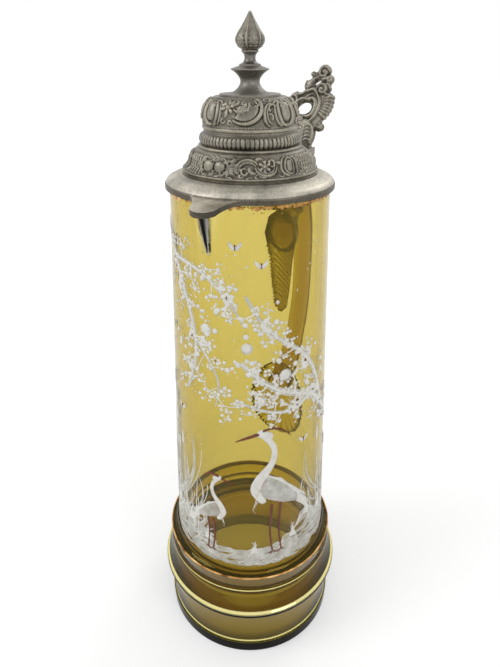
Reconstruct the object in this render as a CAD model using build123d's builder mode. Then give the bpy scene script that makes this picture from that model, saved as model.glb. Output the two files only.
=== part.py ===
from build123d import *
import math
import os

os.makedirs("parts", exist_ok=True)

# A tall glass pouring tankard with a domed pewter lid. Millimetres, +Z up.
# The origin is on the vessel's axis at the surface it stands on.
# The pouring lip points to -Y, and the handle and the hinge are on +Y.

# Glass vessel: a tall tapered tube, wider at the foot
vessel_height = 309.7
rim_radius = 42.0
tube_foot_radius = 52.3
vessel_floor_z = 50.0
vessel_wall = 3.0
vessel_floor = 5.5
rim_round = 1.1

# Pouring lip, pinched out of the rim
lip_reach = 8.5
lip_height = 36.0
lip_half_width = 6.5
lip_wall = 2.4

# Blown foot with two tooled rings over a base ring
base_ring_radius = 59.5
base_ring_height = 9.5
foot_waist_radius = 57.0
foot_mouth_radius = 54.0
lower_ring_radius = 62.5
lower_ring_z = 41.5
upper_ring_radius = 57.3
upper_ring_z = 61.0
upper_ring_band = 11.5
foot_collar_z = 77.0
floor_ledge = 2.6

# Applied glass handle
handle_reach = 95.8
handle_below_rim = 18.7
handle_foot_z = 157.0
handle_width = 17.0
handle_thickness = 8.6
upper_pad_below_rim = 38.7
upper_pad_width = 23.0
upper_pad_height = 32.0
tail_width = 11.0
tail_length = 42.0
leaf_z = 145.0
leaf_width = 44.0
leaf_height = 63.0
pad_thickness = 3.4
crimp_radius = 1.0
leaf_crimps = 44

# Hinge on the handle
hinge_reach = 62.0
hinge_above_rim = 1.6
knuckle_radius = 5.0
knuckle_length = 3.4
knuckle_count = 5
pin_radius = 1.5
cap_radius = 5.0
cap_thickness = 1.5
running_clearance = 0.06
fixed_clearance = 0.02
end_clearance = 0.15
swing_clearance = 0.4
seat_gap = 0.3
strap_wall = 1.9
strap_length = 7.5
post_width = 12.0
post_depth = 6.0

# Cast pewter lid, in stacked stages
lid_gap = 0.3
lid_wall = 2.0
brim_radius = 44.3
brim_edge = 2.1
brim_height = 8.0
band_radius = 34.8
band_height = 11.6
reed_stage_radius = 25.4
reed_stage_height = 8.4
reed_count = 72
reed_groove = 0.75
crown_radius = 24.0
crown_height = 14.8
crown_neck_radius = 23.3
crown_top_radius = 17.5
nose_reach = 59.5
nose_half_angle = 18.0
nose_shoulder = 6.6
nose_droop = 2.2
nose_lip = 1.5
nose_lip_depth = 3.0
nose_swing = 6.0
nose_lip_room = 0.8

# Finial, three castings threaded on one stud
plate_radius = 15.0
plate_thickness = 1.0
stem_radius = 4.7
disc_radius = 9.3
finial_base_height = 13.2
neck_radius = 2.6
neck_height = 6.6
bud_radius = 6.9
bud_height = 15.9
tip_radius = 0.9
stud_radius = 1.3
stud_into_bud = 8.0
nut_width = 7.0
nut_height = 2.4

# Thumb-lift: an openwork plate that leans back from the hinge block
block_above_hinge = 9.0
thumb_setback = 1.0
thumb_height = 56.2
thumb_lean = 18.0
thumb_thickness = 4.4
thumb_relief = 1.0

# Levels that follow from the sizes above
handle_top_z = vessel_height - handle_below_rim
upper_pad_z = vessel_height - upper_pad_below_rim
brim_z = vessel_height + lid_gap
band_z = brim_z + brim_height
reed_z = band_z + band_height
crown_z = reed_z + reed_stage_height
crown_top_z = crown_z + crown_height
finial_neck_z = crown_top_z + finial_base_height
finial_bud_z = finial_neck_z + neck_height
hinge_z = vessel_height + hinge_above_rim
block_top_z = hinge_z + block_above_hinge
thumb_reach = hinge_reach - thumb_setback
thumb_unit = thumb_height / 56.2
half_hinge = knuckle_length * knuckle_count / 2
pin_half_length = half_hinge + cap_thickness


def tube_radius(z):
    taper = (tube_foot_radius - rim_radius) / (vessel_height - vessel_floor_z)
    return rim_radius + (vessel_height - z) * taper


# Glass vessel
def lip_solid(wall):
    levels = [(0.0, -0.3, 0.45), (0.55, 0.22, 0.72), (1.0, 1.0, 1.0)]
    with BuildPart() as lip:
        for share, reach, width in levels:
            level = vessel_height - lip_height * (1 - share)
            radius = lip_half_width * width
            front = tube_radius(level) + lip_reach * reach
            with BuildSketch(Plane.XY.offset(level)):
                with Locations((0, radius - front)):
                    Circle(radius - wall)
        loft()
    return lip.part


lip_outside = lip_solid(0.0)
lip_inside = lip_solid(lip_wall)

with BuildPart() as glass_body:
    with BuildSketch(Plane.XZ):
        with BuildLine():
            Line((0, vessel_floor_z), (tube_foot_radius, vessel_floor_z))
            Line(
                (tube_foot_radius, vessel_floor_z),
                (tube_radius(vessel_height - rim_round), vessel_height - rim_round),
            )
            ThreePointArc(
                (tube_radius(vessel_height - rim_round), vessel_height - rim_round),
                (rim_radius - 0.3 * rim_round, vessel_height - 0.3 * rim_round),
                (rim_radius - rim_round, vessel_height),
            )
            Line((rim_radius - rim_round, vessel_height), (0, vessel_height))
            Line((0, vessel_height), (0, vessel_floor_z))
        make_face()
    revolve(axis=Axis.Z)
    add(lip_outside)
    with BuildSketch(Plane.XZ):
        floor_z = vessel_floor_z + vessel_floor
        with BuildLine():
            Line((0, floor_z), (tube_radius(floor_z) - vessel_wall - 5, floor_z))
            ThreePointArc(
                (tube_radius(floor_z) - vessel_wall - 5, floor_z),
                (tube_radius(floor_z) - vessel_wall - 1.5, floor_z + 1.5),
                (tube_radius(floor_z) - vessel_wall, floor_z + 5),
            )
            Line(
                (tube_radius(floor_z) - vessel_wall, floor_z + 5),
                (rim_radius - vessel_wall, vessel_height - rim_round),
            )
            ThreePointArc(
                (rim_radius - vessel_wall, vessel_height - rim_round),
                (rim_radius - vessel_wall + 0.3 * rim_round, vessel_height - 0.3 * rim_round),
                (rim_radius - vessel_wall + rim_round, vessel_height),
            )
            Line((rim_radius - vessel_wall + rim_round, vessel_height), (0, vessel_height))
            Line((0, vessel_height), (0, floor_z))
        make_face()
    revolve(axis=Axis.Z, mode=Mode.SUBTRACT)
    add(lip_inside, mode=Mode.SUBTRACT)

# Blown foot
with BuildPart() as glass_foot:
    ledge_radius = tube_foot_radius - floor_ledge
    waist_top_z = lower_ring_z - 4.5
    with BuildSketch(Plane.XZ):
        with BuildLine():
            Line((foot_mouth_radius, 0), (base_ring_radius - 1, 0))
            ThreePointArc(
                (base_ring_radius - 1, 0),
                (base_ring_radius - 0.3, 0.3),
                (base_ring_radius, 1),
            )
            Line((base_ring_radius, 1), (base_ring_radius, base_ring_height - 1))
            ThreePointArc(
                (base_ring_radius, base_ring_height - 1),
                (base_ring_radius - 0.3, base_ring_height - 0.3),
                (base_ring_radius - 1, base_ring_height),
            )
            ThreePointArc(
                (base_ring_radius - 1, base_ring_height),
                (foot_waist_radius, (base_ring_height + waist_top_z) / 2),
                (foot_waist_radius + 1, waist_top_z),
            )
            ThreePointArc(
                (foot_waist_radius + 1, waist_top_z),
                (lower_ring_radius - 2.2, lower_ring_z - 3.2),
                (lower_ring_radius - 0.6, lower_ring_z - 1.8),
            )
            ThreePointArc(
                (lower_ring_radius - 0.6, lower_ring_z - 1.8),
                (lower_ring_radius, lower_ring_z),
                (lower_ring_radius - 1.4, lower_ring_z + 2.2),
            )
            ThreePointArc(
                (lower_ring_radius - 1.4, lower_ring_z + 2.2),
                (upper_ring_radius - 0.6, (lower_ring_z + upper_ring_z) / 2 + 1.5),
                (upper_ring_radius - 2, upper_ring_z - 2.5),
            )
            ThreePointArc(
                (upper_ring_radius - 2, upper_ring_z - 2.5),
                (upper_ring_radius, upper_ring_z),
                (upper_ring_radius - 1.2, upper_ring_z + 2),
            )
            ThreePointArc(
                (upper_ring_radius - 1.2, upper_ring_z + 2),
                (upper_ring_radius - 1.0, upper_ring_z + upper_ring_band / 2),
                (upper_ring_radius - 0.3, upper_ring_z + upper_ring_band - 0.8),
            )
            ThreePointArc(
                (upper_ring_radius - 0.3, upper_ring_z + upper_ring_band - 0.8),
                (upper_ring_radius - 0.9, upper_ring_z + upper_ring_band),
                (upper_ring_radius - 1.6, upper_ring_z + upper_ring_band - 0.6),
            )
            ThreePointArc(
                (upper_ring_radius - 1.6, upper_ring_z + upper_ring_band - 0.6),
                (tube_radius(foot_collar_z) + 1.7, foot_collar_z - 3.3),
                (tube_radius(foot_collar_z), foot_collar_z),
            )
            Line(
                (tube_radius(foot_collar_z), foot_collar_z),
                (tube_foot_radius, vessel_floor_z),
            )
            Line((tube_foot_radius, vessel_floor_z), (ledge_radius, vessel_floor_z))
            Line((ledge_radius, vessel_floor_z), (ledge_radius, vessel_floor_z - 6))
            Line((ledge_radius, vessel_floor_z - 6), (foot_mouth_radius, 0))
        make_face()
    revolve(axis=Axis.Z)

# Applied handle: a flattened loop between two pads pressed on the wall
back_plane = Plane(origin=(0, 0, 0), x_dir=(-1, 0, 0), z_dir=(0, 1, 0))

handle_points = [
    (tube_radius(upper_pad_z) - 2, upper_pad_z),
    (hinge_reach - 6, handle_top_z - 7),
    (hinge_reach, handle_top_z - 4),
    (hinge_reach + 6, handle_top_z - 1.6),
    (hinge_reach + 15, handle_top_z - 1.2),
    (handle_reach - 9, handle_top_z - 11),
    (handle_reach - 2.4, handle_top_z - 27),
    (handle_reach, (handle_top_z + handle_foot_z) / 2 + 15),
    (handle_reach - 4.6, (handle_top_z + handle_foot_z) / 2 - 17),
    (handle_reach - 18, handle_foot_z + 26),
    (tube_radius(handle_foot_z) + 14, handle_foot_z + 10),
    (tube_radius(handle_foot_z) - 2, handle_foot_z - 1),
]
handle_curve = Plane.YZ * Spline(*handle_points)

# Share of the way along the loop, width share and thickness share
strap_share = handle_curve.param_at_point((0, hinge_reach, handle_top_z - 4))
handle_sections = [
    (0.0, 1.35, 2.0),
    (0.05, 1.12, 1.45),
    (strap_share - 0.025, 0.94, 1.06),
    (strap_share, 0.94, 1.04),
    (strap_share + 0.025, 0.94, 1.02),
    (0.26, 1.0, 1.0),
    (0.42, 1.1, 0.98),
    (0.58, 1.12, 1.0),
    (0.74, 1.0, 1.0),
    (0.9, 1.0, 1.1),
    (1.0, 1.3, 1.3),
]


def handle_plane(share):
    return Plane(
        origin=handle_curve @ share, x_dir=(1, 0, 0), z_dir=handle_curve % share
    )


def wall_pad(outline, low, high):
    with BuildPart() as pad:
        with BuildSketch(Plane.XZ):
            with BuildLine():
                Polyline(
                    (tube_radius(low), low),
                    (tube_radius(low) + pad_thickness, low),
                    (tube_radius(high) + pad_thickness, high),
                    (tube_radius(high), high),
                    close=True,
                )
            make_face()
        revolve(axis=Axis.Z)
        with BuildSketch(back_plane):
            add(outline)
        extrude(amount=handle_reach, mode=Mode.INTERSECT)
    return pad.part


with BuildSketch() as leaf_outline:
    with Locations((0, leaf_z)):
        Ellipse(leaf_width / 2, leaf_height / 2)
    for crimp in range(leaf_crimps):
        turn = 2 * math.pi * crimp / leaf_crimps
        across = leaf_width / 2 * math.cos(turn)
        if math.sin(turn) < 0.75:
            with Locations((across, leaf_z + leaf_height / 2 * math.sin(turn))):
                Circle(crimp_radius, mode=Mode.SUBTRACT)

tail_top_z = upper_pad_z - 6
tail_low_z = tail_top_z - tail_length
with BuildSketch() as upper_outline:
    with Locations((0, upper_pad_z)):
        Ellipse(upper_pad_width / 2, upper_pad_height / 2)
    with BuildLine():
        Line((upper_pad_width / 2 - 1, tail_top_z), (tail_width / 2, tail_low_z))
        ThreePointArc(
            (tail_width / 2, tail_low_z),
            (0, tail_low_z - tail_width / 2),
            (-tail_width / 2, tail_low_z),
        )
        Line((-tail_width / 2, tail_low_z), (1 - upper_pad_width / 2, tail_top_z))
        Line((1 - upper_pad_width / 2, tail_top_z), (upper_pad_width / 2 - 1, tail_top_z))
    make_face()

leaf_pad = wall_pad(leaf_outline.sketch, leaf_z - leaf_height, leaf_z + leaf_height)
upper_pad = wall_pad(
    upper_outline.sketch, tail_low_z - 20, upper_pad_z + upper_pad_height
)

with BuildPart() as glass_handle:
    for share, width_share, thickness_share in handle_sections:
        with BuildSketch(handle_plane(share)):
            Ellipse(handle_width / 2 * width_share, handle_thickness / 2 * thickness_share)
    loft()
    add(leaf_pad)
    add(upper_pad)
    with BuildSketch(Plane.XZ):
        with BuildLine():
            Polyline(
                (0, vessel_floor_z),
                (tube_foot_radius, vessel_floor_z),
                (rim_radius, vessel_height),
                (0, vessel_height),
                close=True,
            )
        make_face()
    revolve(axis=Axis.Z, mode=Mode.SUBTRACT)

# Pewter strap round the handle
strap_plane = handle_plane(strap_share)
strap_half_width = handle_width / 2 * 0.94 + seat_gap + strap_wall
strap_half_height = handle_thickness / 2 * 1.06 + seat_gap + strap_wall

with BuildPart() as handle_strap:
    with BuildSketch(strap_plane):
        Ellipse(strap_half_width, strap_half_height)
        Ellipse(
            strap_half_width - strap_wall, strap_half_height - strap_wall, mode=Mode.SUBTRACT
        )
    extrude(amount=strap_length / 2, both=True)

# Hinge: fixed knuckles on a post, lid knuckles between them
hinge_centre = Plane(origin=(0, hinge_reach, hinge_z), x_dir=(0, 1, 0), z_dir=(1, 0, 0))
fixed_places = [index for index in range(knuckle_count) if index % 2 == 0]
lid_places = [index for index in range(knuckle_count) if index % 2 == 1]


def knuckle_plane(index):
    middle = (index - (knuckle_count - 1) / 2) * knuckle_length
    return hinge_centre.offset(middle)


def knuckle_discs(places, radius, extra):
    with BuildPart() as discs:
        for index in places:
            with BuildSketch(knuckle_plane(index)):
                Circle(radius)
            extrude(amount=knuckle_length / 2 + extra, both=True)
    return discs.part


fixed_knuckles = knuckle_discs(fixed_places, knuckle_radius, 0)
lid_knuckles = knuckle_discs(lid_places, knuckle_radius, -end_clearance)
fixed_room = knuckle_discs(fixed_places, knuckle_radius + swing_clearance, end_clearance)
lid_room = knuckle_discs(lid_places, knuckle_radius + swing_clearance, 0)

strap_centre = strap_plane.origin
with BuildPart() as hinge_base:
    with BuildSketch(Plane.XY.offset(strap_centre.Z + 3)):
        with Locations((0, strap_centre.Y)):
            Rectangle(post_width, post_depth)
    with BuildSketch(Plane.XY.offset(hinge_z)):
        with Locations((0, hinge_reach)):
            Rectangle(2 * half_hinge, post_depth)
    loft()
    with BuildSketch(strap_plane):
        Ellipse(strap_half_width, strap_half_height)
    extrude(amount=strap_length, both=True, mode=Mode.SUBTRACT)
    add(lid_room, mode=Mode.SUBTRACT)
    add(fixed_knuckles)
    with BuildSketch(hinge_centre):
        Circle(pin_radius + fixed_clearance)
    extrude(amount=half_hinge + 1, both=True, mode=Mode.SUBTRACT)

with BuildPart() as hinge_pin:
    with BuildSketch(hinge_centre):
        Circle(pin_radius)
    extrude(amount=pin_half_length - 0.5, both=True)


def hinge_cap(side):
    with BuildPart() as cap:
        with BuildSketch(hinge_centre.offset(side * half_hinge)):
            Circle(cap_radius)
            Circle(pin_radius + fixed_clearance, mode=Mode.SUBTRACT)
        extrude(amount=side * cap_thickness)
        outer = cap.faces().sort_by(Axis.X)[-1 if side > 0 else 0]
        chamfer(outer.outer_wire().edges(), cap_thickness / 3)
    return cap.part


cap_left = hinge_cap(-1)
cap_right = hinge_cap(1)

# Lid brim with its pouring nose
nose_turn = math.radians(nose_half_angle)
nose_root = (brim_radius * math.sin(nose_turn), -brim_radius * math.cos(nose_turn))
nose_tip_y = -nose_reach
shoulder_y = -(nose_reach - 4.3)
flank_x = (nose_root[0] + nose_shoulder) / 2 - 1.2
flank_y = (nose_root[1] + shoulder_y) / 2 + 1.0


def brim_top(reach):
    return brim_z + brim_edge + (brim_radius - reach) * nose_droop / (nose_reach - brim_radius)


with BuildSketch() as nose_outline:
    with BuildLine():
        ThreePointArc(nose_root, (flank_x, flank_y), (nose_shoulder, shoulder_y))
        ThreePointArc((nose_shoulder, shoulder_y), (0, nose_tip_y), (-nose_shoulder, shoulder_y))
        ThreePointArc((-nose_shoulder, shoulder_y), (-flank_x, flank_y), (-nose_root[0], nose_root[1]))
        Line((-nose_root[0], nose_root[1]), (-nose_root[0] + 3, nose_root[1] + 6))
        Line((-nose_root[0] + 3, nose_root[1] + 6), (nose_root[0] - 3, nose_root[1] + 6))
        Line((nose_root[0] - 3, nose_root[1] + 6), nose_root)
    make_face()

with BuildSketch() as nose_pocket:
    add(nose_outline.sketch)
    offset(amount=-nose_lip)

with BuildPart() as nose:
    with BuildSketch(Plane.YZ):
        nose_back = brim_radius - 7
        with BuildLine():
            Polyline(
                (-nose_back, brim_z),
                (-nose_back, brim_top(nose_back)),
                (-nose_reach - 1, brim_top(nose_reach + 1)),
                (-nose_reach - 1, brim_z - nose_lip_depth),
                (-brim_radius, brim_z),
                close=True,
            )
        make_face()
    extrude(amount=brim_radius, both=True)
    with BuildSketch(Plane.XY.offset(brim_z - nose_lip_depth - 5)):
        add(nose_outline.sketch)
    extrude(amount=brim_height + nose_lip_depth + 5, mode=Mode.INTERSECT)
    with BuildSketch(Plane.XY.offset(brim_z)):
        add(nose_pocket.sketch)
    extrude(amount=-nose_lip_depth - 5, mode=Mode.SUBTRACT)

# The nose stands a little to one side of the glass lip, which keeps its own room
swung_nose = Rot(0, 0, nose_swing) * nose.part
lip_room = Pos(0, 0, lid_gap) * lip_solid(-nose_lip_room)

with BuildPart() as lid_brim:
    seat_radius = band_radius + 0.6
    hollow_radius = rim_radius - vessel_wall - 0.7
    with BuildSketch(Plane.XZ):
        with BuildLine():
            Line((hollow_radius, brim_z), (brim_radius, brim_z))
            Line((brim_radius, brim_z), (brim_radius, brim_z + brim_edge))
            ThreePointArc(
                (brim_radius, brim_z + brim_edge),
                (brim_radius - 1.5, brim_z + brim_edge + 2.1),
                (brim_radius - 3.6, brim_z + brim_edge + 3.3),
            )
            ThreePointArc(
                (brim_radius - 3.6, brim_z + brim_edge + 3.3),
                (brim_radius - 6.6, brim_z + brim_height - 1.5),
                (seat_radius, brim_z + brim_height - 0.7),
            )
            Line((seat_radius, brim_z + brim_height - 0.7), (seat_radius, band_z))
            Line((seat_radius, band_z), (band_radius - lid_wall, band_z))
            Line(
                (band_radius - lid_wall, band_z),
                (band_radius - lid_wall, band_z - lid_wall),
            )
            Line((band_radius - lid_wall, band_z - lid_wall), (hollow_radius, brim_z + 3))
            Line((hollow_radius, brim_z + 3), (hollow_radius, brim_z))
        make_face()
    revolve(axis=Axis.Z)
    add(swung_nose)
    add(lip_room, mode=Mode.SUBTRACT)

# Lower band, a bell-shaped stage
band_top_radius = reed_stage_radius + 0.8
with BuildPart() as lid_lower_band:
    with BuildSketch(Plane.XZ):
        shoulder = (band_radius + band_top_radius) / 2 + 0.4
        with BuildLine():
            Line((band_radius - lid_wall, band_z), (band_radius - 0.5, band_z))
            Line((band_radius - 0.5, band_z), (band_radius - 0.5, band_z + 0.7))
            Line((band_radius - 0.5, band_z + 0.7), (band_radius, band_z + 0.9))
            Line((band_radius, band_z + 0.9), (band_radius, band_z + 1.7))
            ThreePointArc(
                (band_radius, band_z + 1.7),
                (shoulder + 1.3, band_z + band_height * 0.3),
                (shoulder, band_z + band_height * 0.5),
            )
            ThreePointArc(
                (shoulder, band_z + band_height * 0.5),
                (shoulder - 1.2, band_z + band_height * 0.78),
                (band_top_radius + 1, reed_z - 0.4),
            )
            Line((band_top_radius + 1, reed_z - 0.4), (band_top_radius, reed_z))
            Line((band_top_radius, reed_z), (band_top_radius - 2.5 * lid_wall, reed_z))
            ThreePointArc(
                (band_top_radius - 2.5 * lid_wall, reed_z),
                (shoulder - 1.7 - lid_wall, band_z + band_height * 0.6),
                (band_radius - lid_wall, band_z),
            )
        make_face()
    revolve(axis=Axis.Z)

# Reeded band
with BuildPart() as lid_reeded_ring:
    bulge_low = reed_z + 1.9
    bulge_high = crown_z - 1.4
    with BuildSketch(Plane.XZ):
        inner = reed_stage_radius - lid_wall - 2.2
        with BuildLine():
            Line((inner, reed_z), (band_top_radius, reed_z))
            ThreePointArc(
                (band_top_radius, reed_z),
                (band_top_radius + 0.2, reed_z + 0.6),
                (band_top_radius - 0.2, reed_z + 1.2),
            )
            Line((band_top_radius - 0.2, reed_z + 1.2), (reed_stage_radius - 0.8, bulge_low))
            ThreePointArc(
                (reed_stage_radius - 0.8, bulge_low),
                (reed_stage_radius, (bulge_low + bulge_high) / 2 - 0.4),
                (crown_neck_radius + 0.5, bulge_high),
            )
            Line((crown_neck_radius + 0.5, bulge_high), (crown_neck_radius, crown_z - 0.9))
            Line((crown_neck_radius, crown_z - 0.9), (crown_neck_radius, crown_z))
            Line((crown_neck_radius, crown_z), (inner, crown_z))
            Line((inner, crown_z), (inner, reed_z))
        make_face()
    revolve(axis=Axis.Z)
    with BuildSketch(Plane.XY.offset(bulge_low + 0.3)):
        with PolarLocations(reed_stage_radius + reed_groove * 0.3, reed_count):
            Circle(reed_groove)
    extrude(amount=bulge_high - bulge_low - 0.6, mode=Mode.SUBTRACT)

# Crown, the upper dome
with BuildPart() as lid_crown:
    with BuildSketch(Plane.XZ):
        inner = crown_neck_radius - lid_wall
        with BuildLine():
            Line((inner, crown_z), (crown_neck_radius, crown_z))
            ThreePointArc(
                (crown_neck_radius, crown_z),
                (crown_radius, crown_z + 1.1),
                (crown_neck_radius, crown_z + 2.1),
            )
            Spline(
                (crown_neck_radius, crown_z + 2.1),
                (crown_radius, crown_z + crown_height * 0.38),
                (crown_radius - 0.8, crown_z + crown_height * 0.64),
                (crown_radius - 3.1, crown_z + crown_height * 0.88),
                (crown_top_radius, crown_top_z),
            )
            Line((crown_top_radius, crown_top_z), (0, crown_top_z))
            Line((0, crown_top_z), (0, crown_top_z - lid_wall))
            Line((0, crown_top_z - lid_wall), (crown_top_radius - 1, crown_top_z - lid_wall))
            ThreePointArc(
                (crown_top_radius - 1, crown_top_z - lid_wall),
                (inner - 1, crown_z + crown_height * 0.6),
                (inner, crown_z),
            )
        make_face()
    revolve(axis=Axis.Z)
    with BuildSketch(Plane.XY.offset(crown_top_z)):
        Circle(stud_radius + fixed_clearance)
    extrude(amount=-2 * lid_wall, mode=Mode.SUBTRACT)

# Finial: base with its wide disc, neck, bud, and the stud and nut that hold them
disc_z = finial_neck_z - 1.7
with BuildPart() as finial_base:
    with BuildSketch(Plane.XZ):
        plate_top = crown_top_z + plate_thickness
        bore = stud_radius + fixed_clearance
        with BuildLine():
            Line((bore, crown_top_z), (plate_radius, crown_top_z))
            Line((plate_radius, crown_top_z), (plate_radius, plate_top))
            Line((plate_radius, plate_top), (plate_radius - 4.5, plate_top + 0.3))
            Spline(
                (plate_radius - 4.5, plate_top + 0.3),
                (stem_radius + 1.3, plate_top + 2.6),
                (stem_radius, (plate_top + disc_z) / 2),
                (stem_radius + 1.7, disc_z - 2.0),
                (disc_radius, disc_z),
            )
            Line((disc_radius, disc_z), (disc_radius, disc_z + 0.4))
            Line((disc_radius, disc_z + 0.4), (neck_radius * 2, finial_neck_z))
            Line((neck_radius * 2, finial_neck_z), (bore, finial_neck_z))
            Line((bore, finial_neck_z), (bore, crown_top_z))
        make_face()
    revolve(axis=Axis.Z)

with BuildPart() as finial_neck:
    with BuildSketch(Plane.XZ):
        bore = stud_radius + fixed_clearance
        with BuildLine():
            Line((bore, finial_neck_z), (neck_radius * 2, finial_neck_z))
            Line((neck_radius * 2, finial_neck_z), (neck_radius * 2, finial_neck_z + 0.6))
            Line(
                (neck_radius * 2, finial_neck_z + 0.6),
                (neck_radius + 1.2, finial_neck_z + 1.1),
            )
            ThreePointArc(
                (neck_radius + 1.2, finial_neck_z + 1.1),
                (neck_radius, finial_neck_z + neck_height / 2),
                (neck_radius + 1.1, finial_bud_z - 1.0),
            )
            ThreePointArc(
                (neck_radius + 1.1, finial_bud_z - 1.0),
                (neck_radius + 1.5, finial_bud_z - 0.5),
                (neck_radius + 1.1, finial_bud_z),
            )
            Line((neck_radius + 1.1, finial_bud_z), (bore, finial_bud_z))
            Line((bore, finial_bud_z), (bore, finial_neck_z))
        make_face()
    revolve(axis=Axis.Z)

with BuildPart() as finial_bud:
    with BuildSketch(Plane.XZ):
        bore = stud_radius + fixed_clearance
        bud_top = finial_bud_z + bud_height
        with BuildLine():
            Line((bore, finial_bud_z), (neck_radius + 1.1, finial_bud_z))
            Spline(
                (neck_radius + 1.1, finial_bud_z),
                (bud_radius - 0.6, finial_bud_z + bud_height * 0.15),
                (bud_radius, finial_bud_z + bud_height * 0.27),
                (bud_radius * 0.7, finial_bud_z + bud_height * 0.54),
                (bud_radius * 0.3, finial_bud_z + bud_height * 0.82),
                (tip_radius, bud_top - tip_radius),
            )
            ThreePointArc(
                (tip_radius, bud_top - tip_radius),
                (tip_radius * math.sqrt(0.5), bud_top - tip_radius * (1 - math.sqrt(0.5))),
                (0, bud_top),
            )
            Line((0, bud_top), (0, finial_bud_z + stud_into_bud))
            Line((0, finial_bud_z + stud_into_bud), (bore, finial_bud_z + stud_into_bud))
            Line((bore, finial_bud_z + stud_into_bud), (bore, finial_bud_z))
        make_face()
    revolve(axis=Axis.Z)

stud_low_z = crown_top_z - lid_wall - nut_height - 1
with BuildPart() as finial_stud:
    with BuildSketch(Plane.XY.offset(stud_low_z)):
        Circle(stud_radius)
    extrude(amount=finial_bud_z + stud_into_bud - seat_gap - stud_low_z)

with BuildPart() as finial_nut:
    with BuildSketch(Plane.XY.offset(crown_top_z - lid_wall)):
        RegularPolygon(nut_width / 2, 6, major_radius=False)
        Circle(stud_radius + fixed_clearance, mode=Mode.SUBTRACT)
    extrude(amount=-nut_height)

# Lid tang: from the brim back to the hinge, with the block for the thumb-lift
tang_start = band_radius + 1.6
tang_low = brim_z + 0.8
tang_half_width = half_hinge - end_clearance
with BuildPart() as lid_tang:
    with BuildSketch(Plane.YZ):
        with BuildLine():
            Polyline(
                (tang_start - 6, band_z - 2.5),
                (tang_start - 6, band_z - 0.4),
                (hinge_reach - 7, block_top_z - 2.2),
                (hinge_reach - 5, block_top_z),
                (hinge_reach + knuckle_radius + 0.5, block_top_z),
                (hinge_reach + knuckle_radius + 0.5, hinge_z + knuckle_radius + 0.2),
                (hinge_reach + knuckle_radius - 1.1, hinge_z + knuckle_radius - 1.8),
                (hinge_reach + knuckle_radius - 1.1, hinge_z),
                (hinge_reach, hinge_z),
                (hinge_reach - knuckle_radius, tang_low),
                (brim_radius - 2, tang_low),
                (brim_radius - 4, band_z - 2.5),
                close=True,
            )
        make_face()
    extrude(amount=2 * tang_half_width, both=True)
    with BuildSketch(Plane.XY.offset(brim_z - 1)):
        with BuildLine():
            Line((-tang_half_width, hinge_reach + 8), (tang_half_width, hinge_reach + 8))
            Line((tang_half_width, hinge_reach + 8), (tang_half_width, hinge_reach - 7))
            ThreePointArc(
                (tang_half_width, hinge_reach - 7),
                (tang_half_width + 0.4, brim_radius + 3),
                (tang_half_width + 2, tang_start + 2),
            )
            Line((tang_half_width + 2, tang_start + 2), (tang_half_width + 2, tang_start - 8))
            Line((tang_half_width + 2, tang_start - 8), (-tang_half_width - 2, tang_start - 8))
            Line((-tang_half_width - 2, tang_start - 8), (-tang_half_width - 2, tang_start + 2))
            ThreePointArc(
                (-tang_half_width - 2, tang_start + 2),
                (-tang_half_width - 0.4, brim_radius + 3),
                (-tang_half_width, hinge_reach - 7),
            )
            Line((-tang_half_width, hinge_reach - 7), (-tang_half_width, hinge_reach + 8))
        make_face()
    extrude(amount=block_top_z - brim_z + 2, mode=Mode.INTERSECT)
    with BuildSketch(Plane.XY.offset(brim_z - 1)):
        Circle(tang_start)
    extrude(amount=block_top_z - brim_z + 2, mode=Mode.SUBTRACT)
    add(lid_brim.part, mode=Mode.SUBTRACT)
    add(fixed_room, mode=Mode.SUBTRACT)
    add(lid_knuckles)
    with BuildSketch(hinge_centre):
        Circle(pin_radius + running_clearance)
    extrude(amount=half_hinge + 1, both=True, mode=Mode.SUBTRACT)

# Thumb-lift: scalloped openwork plate with a shell edge and scrolls
lean = math.radians(thumb_lean)
thumb_plane = Plane(
    origin=(0, thumb_reach, hinge_z),
    x_dir=(1, 0, 0),
    z_dir=(0, -math.cos(lean), math.sin(lean)),
)
foot_v = block_above_hinge / math.cos(lean)


def drawn(across, up):
    # The outline is drawn 56.2 high and follows the height asked for
    return (across * thumb_unit, up * thumb_unit)


# Each arc starts where the last one ends: its middle and its end
left_and_top = [
    (drawn(-6.9, 17.5), drawn(-5.8, 22.6)),
    (drawn(-8.2, 24.6), drawn(-8.4, 27.4)),
    (drawn(-12.4, 30.4), drawn(-13.4, 35.0)),
    (drawn(-10.8, 38.6), drawn(-7.2, 41.1)),
    (drawn(-5.0, 40.4), drawn(-2.2, 42.0)),
    (drawn(-3.1, 44.7), drawn(-2.1, 47.4)),
    (drawn(0.2, 47.8), drawn(1.3, 49.4)),
    (drawn(0.1, 51.2), drawn(2.4, 52.2)),
    (drawn(3.5, 51.9), drawn(4.4, 52.8)),
    (drawn(7.9, 56.2), drawn(12.1, 53.4)),
    (drawn(11.9, 51.4), drawn(10.4, 50.2)),
    (drawn(14.2, 49.6), drawn(14.3, 46.7)),
    (drawn(13.3, 45.3), drawn(14.0, 43.5)),
    (drawn(13.6, 41.6), drawn(11.9, 40.7)),
    (drawn(14.0, 40.7), drawn(16.3, 39.4)),
]
right_and_low = [
    (drawn(11.5, 24.6), drawn(11.7, 23.6)),
    (drawn(13.3, 21.0), drawn(11.2, 19.2)),
    (drawn(9.6, 18.9), drawn(8.0, 20.2)),
]
shell_ribs = 6
shell_top = left_and_top[-1][1]


def shell_point(share):
    bow = 1.7 * math.sin(math.pi * share)
    return (
        shell_top[0] + (bow - 4.2 * share) * thumb_unit,
        shell_top[1] - (13.7 * share + bow * 0.3) * thumb_unit,
    )


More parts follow.
